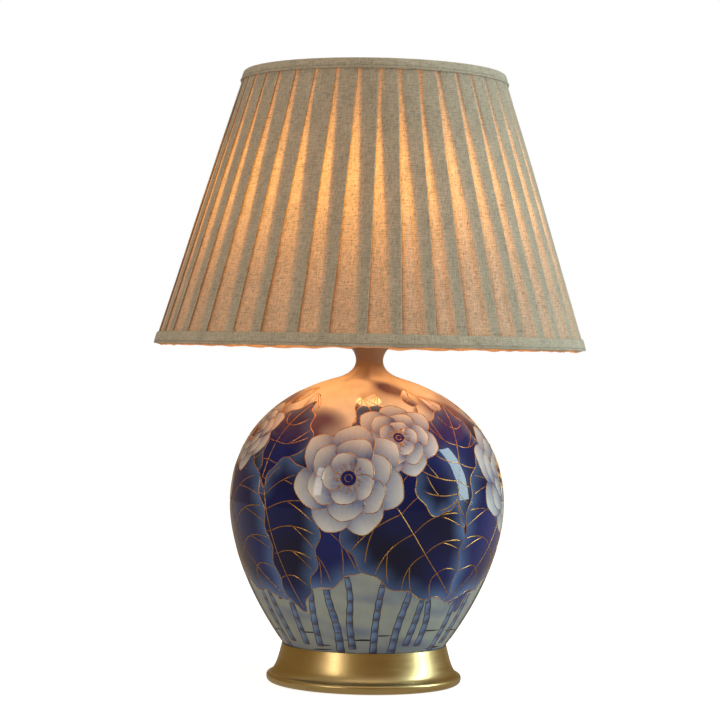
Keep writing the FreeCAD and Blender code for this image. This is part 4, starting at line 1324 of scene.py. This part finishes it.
def jar_sheet(motifs):
    """The painted face of the jar as triangles that follow every outline, and the motif on each."""
    edge = chart_edge
    steps = round(run_end / 4.0)
    points, edges = [], []

    def add_loop(loop):
        start, count = len(points), len(loop)
        points.extend(Vector(tuple(point)) for point in loop)
        edges.extend((start + i, start + (i + 1) % count) for i in range(count))

    rim = [(-edge + 2 * edge * i / columns, 0.0) for i in range(columns)]
    rim += [(edge, run_end * j / steps) for j in range(steps)]
    rim += [(edge - 2 * edge * i / columns, run_end) for i in range(columns)]
    rim += [(-edge, run_end * (steps - j) / steps) for j in range(steps)]
    add_loop(rim)
    for motif in motifs:
        add_loop(motif.outline)
    levels, places = round(run_end / grid_step), round(2 * edge / chart_scale * 2.2 / grid_step)
    for j in range(1, levels):
        odd = j % 2
        for i in range(1 - odd, places):
            points.append(Vector((-edge + 2 * edge * (i + 0.5 * odd) / places, run_end * j / levels)))
    out = delaunay_2d_cdt(points, edges, [], 0, 1e-4, False)
    chart, triangles = np.array([tuple(point) for point in out[0]]), np.array(out[2])
    middles = chart[triangles].mean(axis=1)
    kept = (np.abs(middles[:, 0]) < edge) & (middles[:, 1] > 0) & (middles[:, 1] < run_end)
    triangles, middles = triangles[kept], middles[kept]
    on_top = np.full(len(triangles), -1)
    for number, motif in enumerate(motifs):
        on_top[inside(middles, motif.outline)] = number
    used = np.unique(triangles)
    place = np.full(len(chart), -1)
    place[used] = np.arange(len(used))
    return chart[used], place[triangles], on_top


def painted_colours(corners, on_top, motifs):
    """The paint at each corner of the painted triangles."""
    colours = ground_colour(corners[:, :, 0], corners[:, :, 1])
    for number in np.unique(on_top[on_top >= 0]):
        chosen = on_top == number
        spots = corners[chosen].reshape(-1, 2)
        colours[chosen] = motifs[number].colour(spots[:, 0], spots[:, 1]).reshape(-1, 3, 4)
    return colours.reshape(-1, 4).tolist()


def neck_to_foot():
    """Radius and height of each ring, up the neck, over the mouth, down the inside and under the foot."""
    reach = (jar_shoulder_radius - neck_radius) * neck_blend
    lip_bottom = lip_height - lip_thickness
    neck_curve = [(jar_shoulder_radius, jar_shoulder_height),
                  (jar_shoulder_radius - reach, jar_shoulder_height + reach * sin(shoulder_slope)),
                  (neck_radius, neck_height - neck_pull_down), (neck_radius, neck_height)]
    flare = [(neck_radius, neck_height), (neck_radius, neck_height + flare_pull_up),
             (neck_radius + flare_pull_out, lip_bottom - flare_pull_down),
             (lip_radius - lip_corner, lip_bottom)]
    profile = [bezier(neck_curve, i / 14) for i in range(1, 15)]
    profile += [bezier(flare, i / 12) for i in range(1, 13)]
    for angle in (-50, -15, 20, 55, 90):
        turn = radians(angle)
        profile.append((lip_radius - lip_round + lip_round * cos(turn),
                        lip_height - lip_round + lip_round * sin(turn)))
    mouth, bore = lip_radius - mouth_inset, neck_radius - neck_wall
    throat = [(mouth, lip_height), (mouth - throat_pull_in, lip_height - throat_pull_down),
              (bore, neck_height + bore_pull_up), (bore, neck_height + bore_top)]
    profile += [bezier(throat, i / 6) for i in range(7)]
    profile.append((bore, neck_height - bore_bottom))
    profile.append((jar_shoulder_radius - 1.0, jar_shoulder_height - jar_wall + 1.0))
    inner = [bezier(upper_curve, 1 - i / 10) for i in range(1, 11)]
    inner += [bezier(lower_curve, 1 - i / 8) for i in range(1, 7)]
    profile += [(r - jar_wall, max(z, jar_floor)) for r, z in inner]
    return profile + [(jar_foot_radius - foot_ring_width, jar_floor), (rod_hole_radius, jar_floor),
                      (rod_hole_radius, jar_bottom_height), (jar_foot_radius * 0.5, jar_bottom_height)]


def jar_body(motifs):
    chart, triangles, on_top = jar_sheet(motifs)
    left = {round(float(y), 2): i for i, (x, y) in enumerate(chart) if x < 1e-3 - chart_edge}
    merged = {i: left.get(round(float(y), 2), i) for i, (x, y) in enumerate(chart) if x > chart_edge - 1e-3}
    points = [tuple(point) for point in on_jar(chart)]
    corners = chart[triangles]
    colours = painted_colours(corners, on_top, motifs)
    bake = [((x / chart_edge + 1) / 2, 0.12 + 0.86 * y / run_end) for x, y in corners.reshape(-1, 2)]
    faces = [[merged.get(i, i) for i in triangle] for triangle in triangles.tolist()]
    top_ring, bottom_ring = {}, {}
    for i, (x, y) in enumerate(chart):
        if merged.get(i, i) == i:
            place = round((x + chart_edge) / (2 * chart_edge) * columns) % columns
            if y > run_end - 1e-3:
                top_ring[place] = i
            elif y < 1e-3:
                bottom_ring[place] = i
    rings = [[top_ring[i] for i in range(columns)]]
    profile = neck_to_foot()
    for r, z in profile:
        rings.append(list(range(len(points), len(points) + columns)))
        for i in range(columns):
            turn = tau * i / columns - 3 * pi / 2
            points.append((r * cos(turn), r * sin(turn), z))
    rings.append([bottom_ring[i] for i in range(columns)])
    heights = [jar_shoulder_height] + [z for r, z in profile] + [jar_bottom_height]
    for level in range(len(rings) - 1):
        for i in range(columns):
            after = (i + 1) % columns
            faces.append([rings[level][i], rings[level][after], rings[level + 1][after], rings[level + 1][i]])
            for column, step in ((i, 0), (after, 0), (after, 1), (i, 1)):
                height = heights[level + step]
                outside = height > jar_shoulder_height - 1 and level < neck_levels
                colours.append(neck_colour(column, height) if outside else bare_clay)
                bake.append((min(0.999, (i + (1 if column != i else 0)) / columns),
                             0.11 * (level + step) / len(rings)))
    made = add_piece("painted_jar", points, faces, "painted_glaze", "base")
    layer = made.data.color_attributes.new("paint", "FLOAT_COLOR", "CORNER")
    layer.data.foreach_set("color", np.asarray(colours, np.float32).ravel())
    corner_uv(made, "OFBake", bake)
    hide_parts("jar")


def neck_colour(column, height):
    """The neck's taupe glaze, partly its own brown and partly painted shade from the vase cap and bulb
    holder, which fades in above the painted shoulder.
    """
    x = chart_scale * (360 * column / columns - 180)
    base = ground_colour(np.array([x]), np.array([run_end]))[0]
    return blend_colour(base, taupe_and_shade, (height - jar_shoulder_height) / 12).tolist()


def dense_line(line):
    """The line with a point at least every few millimetres of the chart."""
    dense = [line[0]]
    for here, after in zip(line, line[1:]):
        steps = max(1, int(hypot(after[0] - here[0], after[1] - here[1]) / line_step))
        for k in range(1, steps + 1):
            t = k / steps
            dense.append((here[0] + (after[0] - here[0]) * t, here[1] + (after[1] - here[1]) * t))
    return np.array(dense)


def seen_runs(line, covers):
    """The stretches of a line that lie on the chart and that no later outline covers."""
    shown = ((line[:, 0] >= -chart_edge) & (line[:, 0] < chart_edge)
             & (line[:, 1] > 1) & (line[:, 1] < run_end - 1))
    for outline in covers:
        shown &= ~inside(line, outline)
    runs, run = [], []
    for point, seen in zip(line, shown):
        if seen:
            run.append(point)
        elif run:
            runs.append(run)
            run = []
    return [run for run in runs + [run] if len(run) > 2]


def ribbon(run, width, start):
    """Points and faces of one raised line that thins out at its ends."""
    base = on_jar(np.array(run))
    normal = on_jar(np.array(run), 1.0) - base
    side = np.cross(np.gradient(base, axis=0), normal)
    side /= np.maximum(np.linalg.norm(side, axis=1, keepdims=True), 1e-9)
    count = len(base)
    taper = np.minimum(1.0, 0.35 + 0.33 * np.minimum(np.arange(count), np.arange(count)[::-1]))
    wobble = np.array([1 + 0.22 * noise.noise(Vector(tuple(p * 0.12))) for p in base])
    half = (width / 2 * taper * wobble)[:, None]
    points = []
    for across, lift in ((-1.0, -0.05), (-0.55, 0.17), (0.0, 0.24), (0.55, 0.17), (1.0, -0.05)):
        points.extend(tuple(p) for p in base + side * half * across + normal * lift)
    faces = []
    for lane in range(4):
        for i in range(count - 1):
            a = start + lane * count + i
            faces.append((a, a + 1, a + count + 1, a + count))
    faces.append(tuple(start + lane * count for lane in range(5)))
    faces.append(tuple(start + lane * count + count - 1 for lane in reversed(range(5))))
    return points, faces


def raised_lines(name, finish, motifs):
    """Thin raised ribbons along the outlines and veins that nothing in front covers."""
    points, faces = [], []
    for order, motif in enumerate(motifs):
        if motif.line_finish == finish:
            covers = [later.outline for later in motifs[order + 1:]]
            for line in motif.lines:
                for run in seen_runs(dense_line(line), covers):
                    more_points, more_faces = ribbon(run, motif.width, len(points))
                    points += more_points
                    faces += more_faces
    add_piece(name, points, faces, finish, "base")


# ------------------------------------------------------------------ studio

# Camera fitted to the photograph, in metres and degrees
camera_place = (0.0, -2.1151, 0.3054)
camera_turn = (89.8854, -1.09, 0.2434)
camera_lens = 112.985
lamp_target = (0, 0, 0.28)

def area_lamp(name, place, size, power, colour):
    """A soft rectangular lamp that looks at the middle of the object."""
    light = bpy.data.lights.new(name, "AREA")
    light.shape = "RECTANGLE"
    light.size, light.size_y = size
    light.energy = power
    light.color = colour
    made = linked(name, light)
    made.location = place
    made.rotation_euler = (Vector(lamp_target) - Vector(place)).to_track_quat("-Z", "Y").to_euler()
    made.visible_camera = False


def bulb_lamp():
    """The light of the lit bulb, from just outside its glass."""
    light = bpy.data.lights.new("bulb_light", "POINT")
    light.energy = 0.5
    light.shadow_soft_size = (bulb_radius + 1.2) * MM
    light.color = (1.0, 0.46, 0.14)
    made = linked("bulb_light", light)
    made.location = (0, 0, bulb_height * MM)
    made.visible_camera = False


def seen_straight(tree):
    """1 for rays straight from the camera or through something clear, and 0 for all others."""
    path = tree.nodes.new("ShaderNodeLightPath")
    seen = tree.nodes.new("ShaderNodeMath")
    seen.operation = "MAXIMUM"
    tree.links.new(path.outputs["Is Camera Ray"], seen.inputs[0])
    tree.links.new(path.outputs["Is Transmission Ray"], seen.inputs[1])
    return seen.outputs[0]


def surroundings():
    """A warm dim room that shows white behind the lamp."""
    world = bpy.data.worlds.new("studio")
    world.use_nodes = True
    nodes, links = world.node_tree.nodes, world.node_tree.links
    room = nodes["Background"]
    room.inputs["Color"].default_value = (1.0, 0.84, 0.64, 1)
    room.inputs["Strength"].default_value = 0.36
    white = nodes.new("ShaderNodeBackground")
    white.inputs["Color"].default_value = (1, 1, 1, 1)
    white.inputs["Strength"].default_value = 1.0
    mixed = nodes.new("ShaderNodeMixShader")
    links.new(seen_straight(world.node_tree), mixed.inputs[0])
    links.new(room.outputs[0], mixed.inputs[1])
    links.new(white.outputs[0], mixed.inputs[2])
    links.new(mixed.outputs[0], nodes["World Output"].inputs["Surface"])
    bpy.context.scene.world = world


def stage_piece(name, points, faces, finish):
    mesh = bpy.data.meshes.new(name)
    mesh.from_pydata(points, [], faces)
    mesh.materials.append(finish.material)
    made = linked(name, mesh)
    return made


def floor():
    """A pale floor that reaches white away from the lamp's soft shadow."""
    finish = Finish("pale_floor", (0.8, 0.84, 0.9, 1), roughness=0.9, emission_color=(1, 1, 1, 1))
    finish.set("Emission Strength", finish.math("MULTIPLY", seen_straight(finish.tree), 0.8))
    far = 30.0
    made = stage_piece("floor", [(-far, -far, 0), (far, -far, 0), (far, far, 0), (-far, far, 0)],
                       [(0, 1, 2, 3)], finish)
    made.visible_glossy = False


def drape():
    """A dim brown curtain round the sides of the studio, seen only in reflections."""
    finish = Finish("studio_drape", srgb(92, 70, 52), roughness=1.0, emission_color=srgb(162, 136, 84),
                    emission_strength=0.46)
    points = []
    steps, reach, low, high = 48, 2.6, 0.02, 2.2
    for i in range(steps + 1):
        turn = radians(-90 + 330 * (i / steps - 0.5))
        points += [(reach * cos(turn), reach * sin(turn), height) for height in (low, high)]
    faces = [(2 * i, 2 * i + 2, 2 * i + 3, 2 * i + 1) for i in range(steps)]
    made = stage_piece("drape", points, faces, finish)
    made.visible_camera = False
    made.visible_diffuse = False
    made.visible_shadow = False
    made.visible_transmission = False


def set_camera():
    """The photograph's camera: level, 2.1 m away, a little lower than the shade's bottom rim."""
    camera = bpy.data.cameras.new("camera")
    camera.sensor_width = 36.0
    camera.lens = camera_lens
    camera.clip_end = 100.0
    made = linked("camera", camera)
    made.location = camera_place
    made.rotation_euler = [radians(angle) for angle in camera_turn]
    bpy.context.scene.camera = made


dress_frame()
pleated_cover()
trim("top_binding", "top_trim", shade_top, -1, top_trim_width, 0.0, 0.0, False)
trim("bottom_binding", "bottom_trim", shade_bottom, 1, bottom_trim_width, loose_edge_wave, loose_edge_hang,
     True)
felt_pad()
motifs = near_copies(painting())
jar_body(motifs)
raised_lines("gold_drawing", "fired_gold", motifs)
raised_lines("umber_drawing", "umber_line", motifs)
floor()
drape()
area_lamp("key_softbox", (1.7, -0.12, 0.85), (0.34, 1.25), 18, (0.76, 1.0, 1.02))
area_lamp("fill_softbox", (-1.25, -1.45, 0.8), (0.22, 0.8), 5.5, (1.0, 0.9, 0.76))
area_lamp("top_softbox", (0.0, -0.6, 2.2), (1.6, 1.6), 6, (1.0, 0.9, 0.78))
bulb_lamp()
surroundings()
set_camera()

bpy.context.scene.view_settings.view_transform = "Standard"
